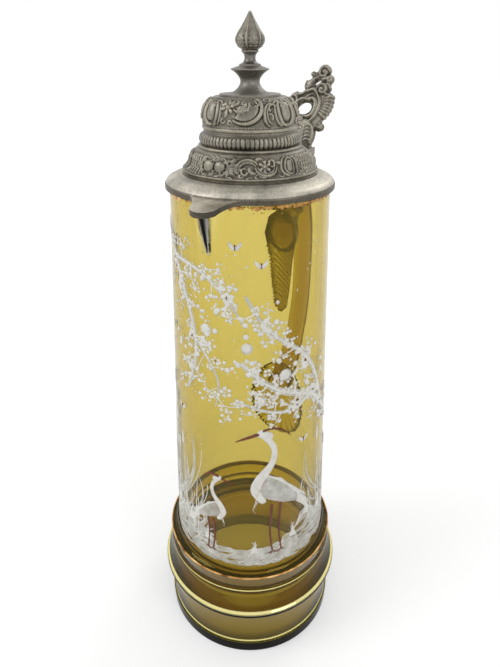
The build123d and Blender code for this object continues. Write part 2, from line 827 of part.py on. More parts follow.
with BuildSketch() as thumb_outline:
    with BuildLine():
        low_left = (drawn(-4.8, 0)[0], foot_v + 2.5)
        low_right = (drawn(7.2, 0)[0], foot_v + 2.5)
        Line((low_left[0], 0), low_left)
        start = low_left
        for middle, end in left_and_top:
            ThreePointArc(start, middle, end)
            start = end
        for rib in range(shell_ribs):
            end = shell_point((rib + 1) / shell_ribs)
            middle = shell_point((rib + 0.5) / shell_ribs)
            ThreePointArc(start, (middle[0] + 0.6, middle[1] - 0.2), end)
            start = end
        for middle, end in right_and_low:
            ThreePointArc(start, middle, end)
            start = end
        ThreePointArc(start, (start[0] + 0.4, (start[1] + low_right[1]) / 2), low_right)
        Line(low_right, (low_right[0], 0))
        Line((low_right[0], 0), (low_left[0], 0))
    make_face()

# Raised scrolls on both faces: centre and radius
thumb_scrolls = [
    (drawn(8.0, 51.9), 3.8 * thumb_unit),
    (drawn(12.0, 48.2), 1.9 * thumb_unit),
    (drawn(8.8, 42.6), 3.1 * thumb_unit),
    (drawn(-0.6, 45.0), 1.8 * thumb_unit),
    (drawn(-8.6, 36.8), 2.9 * thumb_unit),
    (drawn(-2.2, 26.0), 2.5 * thumb_unit),
    (drawn(10.6, 21.6), 1.9 * thumb_unit),
]
hole_place = Location(drawn(-0.8, 31.5), 18)
slot_place = Location(drawn(5.4, 46.2), 33)
with BuildPart() as thumb_lift:
    with BuildSketch(thumb_plane):
        add(thumb_outline.sketch)
    extrude(amount=thumb_thickness / 2, both=True)
    with BuildSketch(thumb_plane):
        for centre, radius in thumb_scrolls:
            with Locations(centre):
                Circle(radius)
                Circle(radius * 0.7, mode=Mode.SUBTRACT)
                Circle(radius * 0.4)
    extrude(amount=thumb_thickness / 2 + thumb_relief, both=True)
    with BuildSketch(thumb_plane):
        with Locations(drawn(1.4, 16.6)):
            Ellipse(5.2 * thumb_unit, 6.2 * thumb_unit)
    extrude(amount=thumb_thickness / 2 + thumb_relief, both=True)
    with BuildSketch(thumb_plane):
        with Locations(hole_place):
            Ellipse(6.0 * thumb_unit, 4.9 * thumb_unit)
        for rib in range(shell_ribs):
            outer = shell_point((rib + 0.5) / shell_ribs)
            with Locations(Location((outer[0] - 2.4 * thumb_unit, outer[1]), -10 - 7 * rib)):
                SlotOverall(5.0 * thumb_unit, 1.2 * thumb_unit)
    extrude(amount=thumb_thickness / 2 + thumb_relief * 0.6, both=True)
    with BuildSketch(thumb_plane):
        with Locations(hole_place):
            Ellipse(4.7 * thumb_unit, 3.5 * thumb_unit)
        with Locations(slot_place):
            Ellipse(2.3 * thumb_unit, 0.9 * thumb_unit)
    extrude(amount=2 * thumb_thickness, both=True, mode=Mode.SUBTRACT)
    with BuildSketch(Plane.XY.offset(block_top_z)):
        with Locations((0, thumb_reach)):
            Rectangle(6 * half_hinge, 6 * knuckle_radius)
    extrude(amount=-4 * block_above_hinge, mode=Mode.SUBTRACT)

nodes = {
    "glass_body": glass_body.part,
    "glass_foot": glass_foot.part,
    "glass_handle": glass_handle.part,
    "handle_strap": handle_strap.part,
    "hinge_base": hinge_base.part,
    "hinge_pin": hinge_pin.part,
    "hinge_cap_left": cap_left,
    "hinge_cap_right": cap_right,
    "lid_brim": lid_brim.part,
    "lid_lower_band": lid_lower_band.part,
    "lid_reeded_ring": lid_reeded_ring.part,
    "lid_crown": lid_crown.part,
    "finial_base": finial_base.part,
    "finial_neck": finial_neck.part,
    "finial_bud": finial_bud.part,
    "finial_stud": finial_stud.part,
    "finial_nut": finial_nut.part,
    "lid_tang": lid_tang.part,
    "thumb_lift": thumb_lift.part,
}
for name, part in nodes.items():
    part.label = name
    export_step(part, "parts/" + name + ".step")
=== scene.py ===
import bpy, bmesh, math, random
import numpy as np
from math import atan2, cos, exp, hypot, pi, radians, sin
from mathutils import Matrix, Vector


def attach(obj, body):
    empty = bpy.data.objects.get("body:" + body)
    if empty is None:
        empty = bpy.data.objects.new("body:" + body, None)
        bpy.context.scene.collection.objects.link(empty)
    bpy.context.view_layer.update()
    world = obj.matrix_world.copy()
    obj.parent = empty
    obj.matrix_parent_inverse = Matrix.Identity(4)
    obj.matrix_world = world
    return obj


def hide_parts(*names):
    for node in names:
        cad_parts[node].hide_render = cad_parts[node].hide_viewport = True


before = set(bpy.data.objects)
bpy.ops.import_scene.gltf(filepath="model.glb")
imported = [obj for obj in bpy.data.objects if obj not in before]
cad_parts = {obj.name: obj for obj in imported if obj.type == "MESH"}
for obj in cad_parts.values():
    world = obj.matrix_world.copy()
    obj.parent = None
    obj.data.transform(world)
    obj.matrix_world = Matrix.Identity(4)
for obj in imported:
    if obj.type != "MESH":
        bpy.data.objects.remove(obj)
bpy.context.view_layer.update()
MM = 0.001

# ---- sizes, in millimetres, as in the CAD ----
RIM_Z, RIM_R, FLOOR_R, FLOOR_Z, WALL = 309.7, 42.0, 52.3, 50.0, 3.0
HINGE_Y, HINGE_Z, THUMB_LEAN = 62.0, 311.3, radians(18)
CAM_AZ = radians(28.6)
FRONT = -pi / 2 + CAM_AZ    # the side that faces the camera


def tube_r(z):
    """The tube's outer radius at a height."""
    return RIM_R + (RIM_Z - z) * (FLOOR_R - RIM_R) / (RIM_Z - FLOOR_Z)


def arc(p, q, r, n):
    """n points on the circle through p, q and r, from p, without r."""
    (ax, ay), (bx, by), (cx, cy) = p, q, r
    d = 2 * (ax * (by - cy) + bx * (cy - ay) + cx * (ay - by))
    if abs(d) < 1e-9:
        return [(ax + (cx - ax) * i / n, ay + (cy - ay) * i / n) for i in range(n)]
    a, b, c = ax * ax + ay * ay, bx * bx + by * by, cx * cx + cy * cy
    ux = (a * (by - cy) + b * (cy - ay) + c * (ay - by)) / d
    uy = (a * (cx - bx) + b * (ax - cx) + c * (bx - ax)) / d
    rad = hypot(ax - ux, ay - uy)
    a0, a1, a2 = (atan2(y - uy, x - ux) for x, y in (p, q, r))
    mid, sweep = (a1 - a0) % (2 * pi), (a2 - a0) % (2 * pi)
    if mid >= sweep:
        sweep -= 2 * pi
    return [(ux + rad * cos(a0 + sweep * i / n), uy + rad * sin(a0 + sweep * i / n)) for i in range(n)]


def polar(x, y, r, a, tall=None):
    """The point at angle a round (x, y), on a circle or on an ellipse that is 2 tall high."""
    return x + r * cos(a), y + (r if tall is None else tall) * sin(a)


def chain(start, *arcs):
    """Arcs that follow one another, each given as a point on its way, its end and its number of points."""
    out = []
    for mid, end, n in arcs:
        out += arc(start, mid, end, n)
        start = end
    return out


def run_of(p):
    """How far along the polyline each of its points lies."""
    return np.concatenate([[0], np.cumsum(np.linalg.norm(np.diff(p, axis=0), axis=1))])


def spline(points, n):
    """n points along a natural cubic through the points, evenly by chord length."""
    p = np.array(points, float)
    t = run_of(p)
    h, k = np.diff(t), len(p)
    a, b = np.zeros((k, k)), np.zeros_like(p)
    a[0, 0] = a[-1, -1] = 1
    for i in range(1, k - 1):
        a[i, i - 1:i + 2] = h[i - 1], 2 * (h[i - 1] + h[i]), h[i]
        b[i] = 6 * ((p[i + 1] - p[i]) / h[i] - (p[i] - p[i - 1]) / h[i - 1])
    m = np.linalg.solve(a, b)
    out = []
    for s in np.linspace(0, t[-1], n):
        i = min(max(np.searchsorted(t, s) - 1, 0), k - 2)
        x, y = t[i + 1] - s, s - t[i]
        out.append(m[i] * x ** 3 / (6 * h[i]) + m[i + 1] * y ** 3 / (6 * h[i])
                   + (p[i] / h[i] - m[i] * h[i] / 6) * x + (p[i + 1] / h[i] - m[i + 1] * h[i] / 6) * y)
    return np.array(out)


def even(points, step):
    """The polyline's points, about step apart."""
    p = np.array(points, float)
    t = run_of(p)
    s = np.linspace(0, t[-1], max(2, int(round(t[-1] / step))) + 1)
    return np.stack([np.interp(s, t, p[:, i]) for i in range(p.shape[1])], 1)


def smooth_line(points, n=60):
    return list(map(tuple, spline(points, n)))


# ---- mesh helpers ----
def dress(name, mesh, material, body, slot=None, replaces=(), tone=None):
    """Makes the visible piece; tone is one number, or red, green, blue and clearness, for each point."""
    mesh.polygons.foreach_set("use_smooth", [True] * len(mesh.polygons))
    if tone is not None:
        rgba = np.ones((len(tone), 4), np.float32)
        rgba[:, :np.shape(tone)[1] if np.ndim(tone) == 2 else 3] = tone if np.ndim(tone) == 2 else tone[:, None]
        mesh.color_attributes.new("tone", "FLOAT_COLOR", "POINT").data.foreach_set("color", rgba.ravel())
    mesh.materials.append(material)
    ob = bpy.data.objects.new(name, mesh)
    bpy.context.scene.collection.objects.link(ob)
    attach(ob, body)
    if replaces:
        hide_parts(*replaces)


def outward(mesh, near=0.0, apart=0.0):
    """Turns the faces outward; points within near of the axis are welded up to apart."""
    bm = bmesh.new()
    bm.from_mesh(mesh)
    if near:
        bmesh.ops.remove_doubles(bm, verts=[v for v in bm.verts if hypot(v.co.x, v.co.y) < near], dist=apart)
        bmesh.ops.dissolve_degenerate(bm, edges=bm.edges, dist=1e-7)
    bmesh.ops.recalc_face_normals(bm, faces=bm.faces)
    bm.to_mesh(mesh)
    bm.free()


def make(name, verts, faces, *rest, near=0.0, apart=0.0):
    """A piece from points and faces; the rest is what dress takes."""
    mesh = bpy.data.meshes.new(name)
    mesh.from_pydata([tuple(v) for v in verts], [], [tuple(int(i) for i in f) for f in faces])
    mesh.validate()
    mesh.update()
    dress(name, mesh, *rest)
    outward(mesh, near, apart)


def grid_faces(rows, cols, closed=True):
    """Quads over a grid of points that closes round its columns, and also round its rows if closed."""
    R, C = np.meshgrid(np.arange(rows if closed else rows - 1), np.arange(cols), indexing="ij")
    R2, C2 = (R + 1) % rows, (C + 1) % cols
    return np.stack([R * cols + C, R * cols + C2, R2 * cols + C2, R2 * cols + C], -1).reshape(-1, 4)


def cylindrical(r, a, z):
    """Points from radii, angles and heights in mm."""
    return np.stack([r * np.cos(a), r * np.sin(a), z], -1).reshape(-1, 3) * MM


def turned(name, loop, around, *rest, push=None, **weld):
    """A closed (r, z) loop turned about Z; push(angle, r, z) gives new radii."""
    A = np.arange(around) * 2 * pi / around
    R, Z = (np.repeat(np.array(loop, float)[:, k:k + 1], around, 1) for k in (0, 1))
    if push:
        R = push(A, R, Z)
    make(name, cylindrical(R, A, Z), grid_faces(len(loop), around)[:, ::-1], *rest, **weld)


def cells_of(live):
    """Cells whose four corners are live, the corners they use, how many of them meet there, and their quads."""
    corners = [(a, b) for a in (slice(None, -1), slice(1, None)) for b in (slice(None, -1), slice(1, None))]
    cells = np.logical_and.reduce([live[c] for c in corners])
    meet = np.zeros(live.shape, int)
    for c in corners:
        meet[c] += cells
    used = meet > 0
    index = -np.ones(live.shape, int)
    index[used] = np.arange(used.sum())
    J, I = np.nonzero(cells)
    return used, meet, np.stack([index[J, I], index[J, I + 1], index[J + 1, I + 1], index[J + 1, I]], 1)


def slab_faces(quads, n):
    """The quads, the same on the far side with points numbered from n, and the walls round their free edges."""
    sides = {}
    for q in quads.tolist():
        for a, b in zip(q, (*q[1:], q[0])):
            if (b, a) in sides:
                del sides[(b, a)]
            else:
                sides[(a, b)] = 1
    return np.concatenate([quads, quads[:, ::-1] + n, [(a, a + n, b + n, b) for a, b in sides]])


# ---- relief, drawn as height maps over the unrolled bands ----
def blur(a, sy, sx):
    fy = np.fft.fftfreq(a.shape[0])[:, None] * 2 * pi
    fx = np.fft.fftfreq(a.shape[1])[None, :] * 2 * pi
    return np.real(np.fft.ifft2(np.fft.fft2(a) * np.exp(-0.5 * ((fy * sy) ** 2 + (fx * sx) ** 2))))


def bend_path(x, y, heading, length, bend, curl=0, n=90, from_start=False):
    """A scroll line: it bends steadily and curls up at both ends. (x, y) is its middle, or its start."""
    s = np.linspace(-1, 1, n)
    k = radians(bend) + radians(curl) * np.abs(s) ** 3.0
    ds = 2 / (n - 1)
    head = np.concatenate([[0], np.cumsum((k[1:] + k[:-1]) / 2 * ds)])
    head += radians(heading) - head[n // 2]
    p = np.stack([np.concatenate([[0], np.cumsum(f(head[:-1]))]) * length / 2 * ds for f in (np.cos, np.sin)], 1)
    return p - p[0 if from_start else n // 2] + np.array([x, y])


class Relief:
    """Heights in mm; x runs round and wraps, y runs up."""

    def __init__(self, width, height, step=0.22, wrap=True):
        self.width, self.height, self.wrap = width, height, wrap
        self.nx, self.ny = int(round(width / step)), int(round(height / step)) + 1
        self.step_x, self.step_y = width / self.nx, height / (self.ny - 1)
        self.h = np.zeros((self.ny, self.nx))
        # strength and middle of the painted shade and highlights that tone gives
        self.deep, self.level = 1.0, 0.54

    def stroke(self, path, radius, height, cut=False, flat=0.5):
        """A rounded ridge along the path; radius and height are numbers, or lists spread along it."""
        p = even(path, 0.22)
        t = np.linspace(0, 1, len(p))
        r, tall = (np.interp(t, np.linspace(0, 1, np.size(v)), np.atleast_1d(v)) for v in (radius, height))
        (x0, y0), (x1, y1) = p.min(0) - r.max(), p.max(0) + r.max()
        i0, i1 = math.floor(x0 / self.step_x), math.ceil(x1 / self.step_x) + 1
        j0, j1 = max(0, math.floor(y0 / self.step_y)), min(self.ny, math.ceil(y1 / self.step_y) + 1)
        if not self.wrap:
            i0, i1 = max(0, i0), min(self.nx, i1)
        cols, rows = np.arange(i0, i1), np.arange(j0, j1)
        if not len(cols) or not len(rows):
            return
        xs, ys = cols * self.step_x, rows * self.step_y
        best = np.zeros((len(rows), len(cols)))
        for k in range(0, len(p), 12):
            q, rr, hk = p[k:k + 12], r[k:k + 12], tall[k:k + 12]
            m = rr.max()
            a, b = np.searchsorted(xs, (q[:, 0].min() - m, q[:, 0].max() + m))
            c, d = np.searchsorted(ys, (q[:, 1].min() - m, q[:, 1].max() + m))
            d2 = ((xs[None, a:b, None] - q[:, 0]) ** 2 + (ys[c:d, None, None] - q[:, 1]) ** 2) / rr ** 2
            if d2.size:
                best[c:d, a:b] = np.maximum(best[c:d, a:b], (hk * np.clip(1 - d2, 0, None) ** flat).max(2))
        at = np.ix_(rows, cols % self.nx)
        self.h[at] = self.h[at] - best if cut else np.maximum(self.h[at], best)

    def dab(self, x, y, radius, height, cut=False):
        self.stroke([(x, y), (x + 0.02, y)], radius, height, cut)

    def scroll(self, x, y, heading, length, bend, curl, width, height, start_knob=True):
        path = bend_path(x, y, heading, length, bend, curl)
        self.stroke(path, [width * 0.55, width, width * 1.15, width, width * 0.55], height)
        for end in (path[0], path[-1])[0 if start_knob else 1:]:
            self.dab(end[0], end[1], width * 1.35, height * 1.15)

    def leaf(self, x, y, heading, length, width, bend, height=0.75, vein=True):
        path = bend_path(x, y, heading, length, bend, from_start=True)
        self.stroke(path, [width * k for k in (0.35, 0.85, 1, 0.75, 0.45, 0.16)],
                    [height * k for k in (0.5, 0.8, 1, 1, 0.8, 0.4)])
        if vein:
            self.stroke(path[4:-8], width * 0.2, height * 0.4, cut=True)

    def acanthus(self, x, y, heading, length, width, bend, lobes, height):
        path = bend_path(x, y, heading, length, bend, from_start=True)
        for i in range(lobes):
            t = (i + 0.6) / (lobes + 0.6)
            k = int(t * (len(path) - 1))
            d = path[min(k + 1, len(path) - 1)] - path[k - 1]
            at = math.degrees(atan2(d[1], d[0]))
            size = length * 0.42 * sin(pi * (0.25 + 0.65 * t)) ** 0.8
            for side in (-1, 1):
                self.leaf(*path[k], at + side * 52, size, width * 0.5, -side * 55, height * 0.85)
        self.leaf(x, y, heading, length, width * 0.62, bend, height)

    def flower(self, x, y, size, petals, height, turn=0):
        for i in range(petals):
            a = turn + 2 * pi * i / petals
            foot, tip, low, high = (polar(x, y, size * k, a) for k in (0.35, 1, 0.5, 1.1))
            self.stroke([foot, tip], [size * 0.2, size * 0.36], [height * 0.6, height * 0.9])
            self.stroke([low, high], size * 0.1, height * 0.35, cut=True)
        self.dab(x, y, size * 0.36, height * 1.1)

    def arcs(self, x, y, a, b, start, end, ring, height, tilt=0.0, side=0):
        """Part of an ellipse, tapering at both ends. start and end are degrees, for a side from the top down."""
        if side:
            start, end = 90 - side * start, 90 - side * end
        t = np.radians(np.linspace(start, end, 60))
        c, s = cos(radians(tilt)), sin(radians(tilt))
        u, v = a * np.cos(t), b * np.sin(t)
        wide = ring * 1.25
        self.stroke(np.stack([x + u * c - v * s, y + u * s + v * c], 1),
                    [wide * 0.5, wide, wide * 1.1, wide, wide * 0.5], height)

    def fill_ground(self, seed, tries, low, high, size, height):
        """Leaves and curls in the places that are still bare."""
        draw = random.Random(seed)
        for _ in range(tries):
            x, y = draw.uniform(0, self.width), draw.uniform(low, high)
            j, i = int(y / self.step_y), int(x / self.step_x)
            w = int(0.45 * size / self.step_y)
            if self.h[max(0, j - w):j + w + 1, np.arange(i - w, i + w + 1) % self.nx].max() > 0.3:
                continue
            turn = draw.uniform(0, 360)
            path = bend_path(x, y, turn, size * draw.uniform(1.3, 2.0),
                             draw.choice((-1, 1)) * draw.uniform(70, 130), n=24)
            wide = size * draw.uniform(0.17, 0.24)
            self.stroke(path, [wide * 1.2, wide, wide * 0.75, wide * 0.35], height * draw.uniform(0.8, 1.2))
            if draw.random() < 0.4:
                self.dab(*path[0], wide * 1.5, height * 1.3)

    def blurred(self, width):
        return blur(self.h, width / self.step_y, width / self.step_x)

    def tone(self):
        """0 in the hollows, 1 on the ridges: painted shade in the hollows, painted highlights on the ridges."""
        local, wide = self.h - self.blurred(0.55), self.h - self.blurred(1.6)
        return np.clip(self.level + (local * 1.6 + wide * 0.5) * self.deep, 0, 1)


def crown_relief(radius, length):
    """Oval bosses between scrolls, a rosette with a great shell scroll, small beads at the foot."""
    g = Relief(2 * pi * radius, length)
    deg = radius * pi / 180
    top, low, mid = length - 1.2, 1.0, length * 0.5
    for half in (0, 180):
        for at in (-52 + half, 46 + half):
            x = at * deg
            g.stroke([(x, mid - 1.6), (x, mid + 2.2)], 3.1, 1.25, flat=0.8)
            for side in (-1, 1):
                g.arcs(x + side * 0.3, mid - 0.2, 4.4, 6.2, 153 if side > 0 else 175, 30, 0.8, 1.0, 8, side)
                g.arcs(x + side * 1.1, mid - 0.4, 5.4, 7.0, 150, 62, 0.5, 0.7, 8, side)
                g.scroll(x + side * 3.2, top - 1.6, 90 - side * 60, 6.0, -side * 60, -side * 260, 0.5, 0.9)
                g.leaf(x + side * 1.2, low + 0.6, 90 - side * 55, 4.4, 0.8, side * 60, 0.8)
            g.leaf(x, top - 2.4, 90, 2.8, 0.9, 0, 0.9)
            g.dab(x, low + 0.4, 0.8, 0.9)
        # rosette, and the great shell scroll that sweeps away from it
        x, y = (-27 + half) * deg, mid + 2.0
        g.flower(x, y, 2.5, 6, 1.1, 0.3)
        for k, a in enumerate((100, 150, 205, 250, 60)):
            g.leaf(*polar(x, y, 1.9, radians(a)), a, 3.4, 0.85, 50 * (-1) ** k, 0.8)
        x += 8.6
        g.arcs(x, y, 8.2, 7.1, 222, 402, 0.8, 1.1, 10)
        g.arcs(x - 0.6, y + 0.4, 6.9, 5.8, 218, 392, 0.34, 0.7, 10)
        g.arcs(x - 2.0, y + 1.2, 4.1, 3.2, 205, 372, 0.55, 0.85, 10)
        for k in range(13):
            a = radians(238 + 9.5 * k)
            g.stroke([polar(x - 1.4, y + 0.9, 3.6, a + 0.25, 2.9), polar(x - 0.9, y + 0.5, 5.2, a + 0.1, 4.5),
                      polar(x - 0.4, y + 0.2, 6.6, a, 5.7)], [0.36, 0.5, 0.6], [0.45, 0.62, 0.8])
        g.scroll(x + 7.2, y + 2.0, 70, 6.0, 60, 300, 0.6, 1.0, start_knob=False)
        g.acanthus(x - 3.6, y - 0.2, 12, 6.2, 1.7, 50, 3, 0.95)
        g.dab(x + 0.4, y + 1.2, 0.9, 1.0)
        g.arcs(x + 13.4, mid - 1.4, 4.2, 5.4, 95, 250, 0.6, 0.9)
        g.arcs(x + 13.6, mid - 1.2, 3.0, 4.2, 95, 260, 0.4, 0.65)
        g.scroll(x + 12.8, mid + 3.0, 30, 6.0, -60, -300, 0.5, 0.9)
        # the shorter panel: scrolls that face over a shell
        x = (87 + half) * deg
        for side in (-1, 1):
            g.arcs(x + side * 2.6, mid + 0.4, 4.0, 5.6, 150, 10, 0.62, 0.95, side=side)
            g.arcs(x + side * 2.4, mid + 0.2, 2.9, 4.4, 150, 10, 0.42, 0.7, side=side)
            g.scroll(x + side * 4.8, mid - 4.2, side * 20, 8, side * 50, side * 260, 0.55, 0.85)
            g.leaf(x + side * 6.6, mid + 3.4, 90 - side * 70, 4.0, 0.9, side * 70)
        for k in range(7):
            a = radians(90 + (k - 3) * 24)
            g.stroke([polar(x, mid - 1.8, r, a) for r in (0.9, 3.6)], [0.28, 0.68], [0.7, 1.0])
        g.dab(x, mid - 1.9, 0.95, 1.0)
        g.flower(x, mid - 4.8, 1.3, 5, 0.8)
    g.fill_ground(3, 900, low + 0.3, top + 0.4, 2.6, 0.55)
    n = int(g.width / 1.25)
    for k in range(n):
        g.dab((k + 0.5) * g.width / n, 0.35, 0.42, 0.35)
    g.h = g.blurred(0.17)
    return g


def band_relief(radius, length):
    """Fruit between leaves, S-scrolls, flowers and an oval, three times round."""
    g = Relief(2 * pi * radius, length)
    mid = length * 0.5
    for third in (0, 120, 240):
        x = (-34 + third) * radius * pi / 180
        for side in (-1, 1):
            c = x + side * 3.3
            g.stroke([(c - 0.3, mid + 0.1), (c + 0.3, mid + 0.1)], 2.7, 1.4, flat=0.6)
            g.arcs(c + side * 0.4, mid + 0.1, 4.0, 4.4, 160, 15, 0.5, 0.8, side=side)
            g.leaf(c + side * 2.0, mid + 2.6, 90 - side * 55, 4.2, 1.0, side * 60)
            g.leaf(c + side * 2.2, mid - 2.4, -90 + side * 50, 4.0, 0.95, -side * 60)
        g.stroke([(x - 0.5, 0.2), (x + 0.1, mid - 1), (x + 0.9, length - 0.4)], 0.26, 1.1, cut=True)
        # acanthus spray and the great S-scroll
        g.acanthus(x + 6.8, mid - 0.6, 14, 8.2, 2.0, 25, 4, 1.0)
        g.acanthus(x + 9.4, mid + 1.6, 40, 4.6, 1.3, -50, 2, 0.85)
        for dx, dy, a, b, start, ring, height in (
                (17.2, -0.6, 5.4, 4.6, 30, 0.6, 1.0), (17.4, -0.8, 4.3, 3.5, 30, 0.4, 0.7),
                (26.2, 0.8, 5.2, 4.4, 190, 0.6, 1.0), (26.2, 0.9, 4.1, 3.3, 190, 0.4, 0.7)):
            g.arcs(x + dx, mid + dy, a, b, start, start + 160, ring, height)
        g.scroll(x + 14.6, mid - 2.2, -60, 7.0, 110, 300, 0.5, 0.9, start_knob=False)
        g.scroll(x + 30.2, mid + 2.6, 110, 6.6, 100, 300, 0.5, 0.9, start_knob=False)
        g.leaf(x + 18.0, mid + 0.2, -30, 4.8, 1.0, 60)
        g.leaf(x + 21.4, mid + 3.2, 10, 4.6, 0.9, -80)
        g.flower(x + 25.4, mid + 0.6, 2.4, 6, 1.0, 0.5)
        g.leaf(x + 22.6, mid - 3.4, 10, 4.6, 0.9, 60)
        # oval between leaves, and a trellis of crossing stems
        x += 38.5
        g.stroke([(x, mid - 1.0), (x, mid + 1.4)], 1.9, 1.0, flat=0.6)
        g.arcs(x, mid + 0.2, 2.7, 3.9, 0, 360, 0.42, 0.8)
        for side in (-1, 1):
            g.arcs(x + side * 0.8, mid + 0.2, 4.0, 4.8, 165, 15, 0.5, 0.85, side=side)
            g.leaf(x + side * 4.2, mid + 2.4, 90 - side * 75, 3.6, 0.9, side * 40)
        for k in range(5):
            u = x + 7.5 + k * 2.2
            g.stroke([(u, 1.4), (u + 3.0, length - 1.6)], 0.42, 0.6)
            g.stroke([(u + 3.0, 1.4), (u, length - 1.6)], 0.42, 0.6)
            g.dab(u + 1.5, mid, 0.8, 0.85)
        g.acanthus(x + 19.3, mid, 180, 4.5, 1.4, 20, 3, 0.9)
    g.fill_ground(8, 800, 1.0, length - 1.0, 2.4, 0.5)
    g.h = g.blurred(0.17)
    return g


def bud_relief(radius, length):
    """Six leaves that cup the bud: curled lobes with drilled eyes below, smooth above with a fine ridge between."""
    g = Relief(2 * pi * radius, length, 0.15)
    part = g.width / 6
    for k in range(6):
        x = (k + 0.25) * part
        edge = x + part / 2
        g.stroke([(edge, 0.6), (edge, length * 0.97)], [0.5, 0.45, 0.4, 0.3], [0.3, 0.34, 0.26, 0.1])
        g.stroke([(x, 0.4), (x, length * 0.22), (x, length * 0.5)], [2.4, 2.7, 1.2], [0.2, 0.3, 0.16], flat=0.9)
        for side in (-1, 1):
            for low, rise, reach in ((0.03, 16, 2.5), (0.12, 34, 2.8), (0.21, 50, 2.8), (0.31, 64, 2.5)):
                head, u, v = 90 - side * (90 - rise), x + side * 0.2, length * low
                g.leaf(u, v, head, reach, 0.5, -side * 70, 0.40, vein=False)
                g.dab(*polar(u, v, reach * 0.72, radians(head - side * 34)), 0.32, 0.5, cut=True)
    g.h = g.blurred(0.10)
    # stronger painted shade in the hollows and painted highlights on the leaves
    g.deep, g.level = 1.25, 0.48
    return g


def reed_relief(radius, length):
    """Cast reeds, each a little different."""
    g = Relief(2 * pi * radius, length, 0.2)
    w = g.width / 72
    draw = random.Random(11)
    for k in range(72):
        x = (k + 0.5) * w
        low, high = 0.35 + draw.uniform(0, 0.3), length - 0.35 - draw.uniform(0, 0.3)
        size, lean = w * draw.uniform(0.44, 0.58), draw.uniform(-0.16, 0.16)
        g.stroke([(x - lean, low), (x + lean, high)], [size * 0.8, size, size, size * 0.8], draw.uniform(0.30, 0.56))
    # strong painted shade in the grooves and painted highlights on the reeds
    g.deep, g.level = 2.2, 0.46
    return g


# ---- materials ----
def fill(t, socket, v):
    """Links an output to the socket, or sets the socket's constant."""
    if isinstance(v, bpy.types.NodeSocket):
        t.links.new(v, socket)
    else:
        socket.default_value = v


def feed(t, node, **values):
    """Fills input sockets by their names, with _ for each space."""
    for k, v in values.items():
        fill(t, node.inputs[k.replace("_", " ")], v)
    return node


def add(t, kind, **values):
    return feed(t, t.nodes.new("ShaderNode" + kind), **values)


def calc(t, operation, *values):
    """The output of a math node."""
    n = t.nodes.new("ShaderNodeMath")
    n.operation = operation
    for socket, v in zip(n.inputs, values):
        fill(t, socket, v)
    return n.outputs[0]


def nodes_of(name):
    """A new material, its node tree and its main node."""
    m = bpy.data.materials.new(name)
    m.use_nodes = True
    t = m.node_tree
    return m, t, t.nodes["Principled BSDF"]


def coords(t, kind="Object"):
    return add(t, "TexCoord").outputs[kind]


def tone_of(t):
    """The colours stored with the mesh."""
    n = add(t, "Attribute")
    n.attribute_name = "tone"
    return n.outputs


def ramp(t, source, stops):
    """A colour ramp; each stop is a place and a colour or one number."""
    r = add(t, "ValToRGB", Fac=source)
    e = r.color_ramp.elements
    while len(e) < len(stops):
        e.new(0.5)
    for el, (pos, col) in zip(e, stops):
        el.position = pos
        el.color = (*col, 1) if not isinstance(col, float) else (col, col, col, 1)
    return r.outputs["Color"]


def times(t, a, b, factor=1.0):
    """The product of two colours."""
    n = t.nodes.new("ShaderNodeMix")
    n.data_type, n.blend_type = "RGBA", "MULTIPLY"
    return feed(t, n, Factor=factor, A=a, B=b).outputs["Result"]


def bumpy(t, p, height, strength, distance):
    feed(t, p, Normal=add(t, "Bump", Strength=strength, Distance=distance, Height=height).outputs["Normal"])


def glass_material(name, toned=True):
    """Blown glass; toned takes the surface's colour and clearness from the mesh."""
    m, t, p = nodes_of(name)
    feed(t, p, Base_Color=(1, 1, 1, 1), IOR=1.5, Roughness=0.0,
         Specular_IOR_Level=0.06, Specular_Tint=(0.85, 0.74, 0.22, 1))
    if toned:
        # the mesh's colour holds painted shade and painted highlights; the pale lines along the rims, painted
        # highlights, keep their painted colour also in their gloss
        tone = tone_of(t)
        shut = calc(t, "SUBTRACT", 1.0, tone["Alpha"])
        feed(t, p, Base_Color=tone["Color"], Transmission_Weight=tone["Alpha"],
             Metallic=calc(t, "MULTIPLY", shut, tone["Fac"]))
    else:
        feed(t, p, Transmission_Weight=1.0)
    amber = add(t, "VolumeAbsorption", Color=(0.77, 0.678, 0.085, 1), Density=400.0)
    feed(t, t.nodes["Material Output"], Volume=amber.outputs["Volume"])
    # long soft waves in the blown metal
    long = add(t, "Mapping", Vector=coords(t), Scale=(60, 60, 14)).outputs["Vector"]
    waves = add(t, "TexNoise", Vector=long, Scale=1.0, Detail=2.0, Roughness=0.4)
    bumpy(t, p, waves.outputs["Fac"], 0.10, 0.0006)
    return m


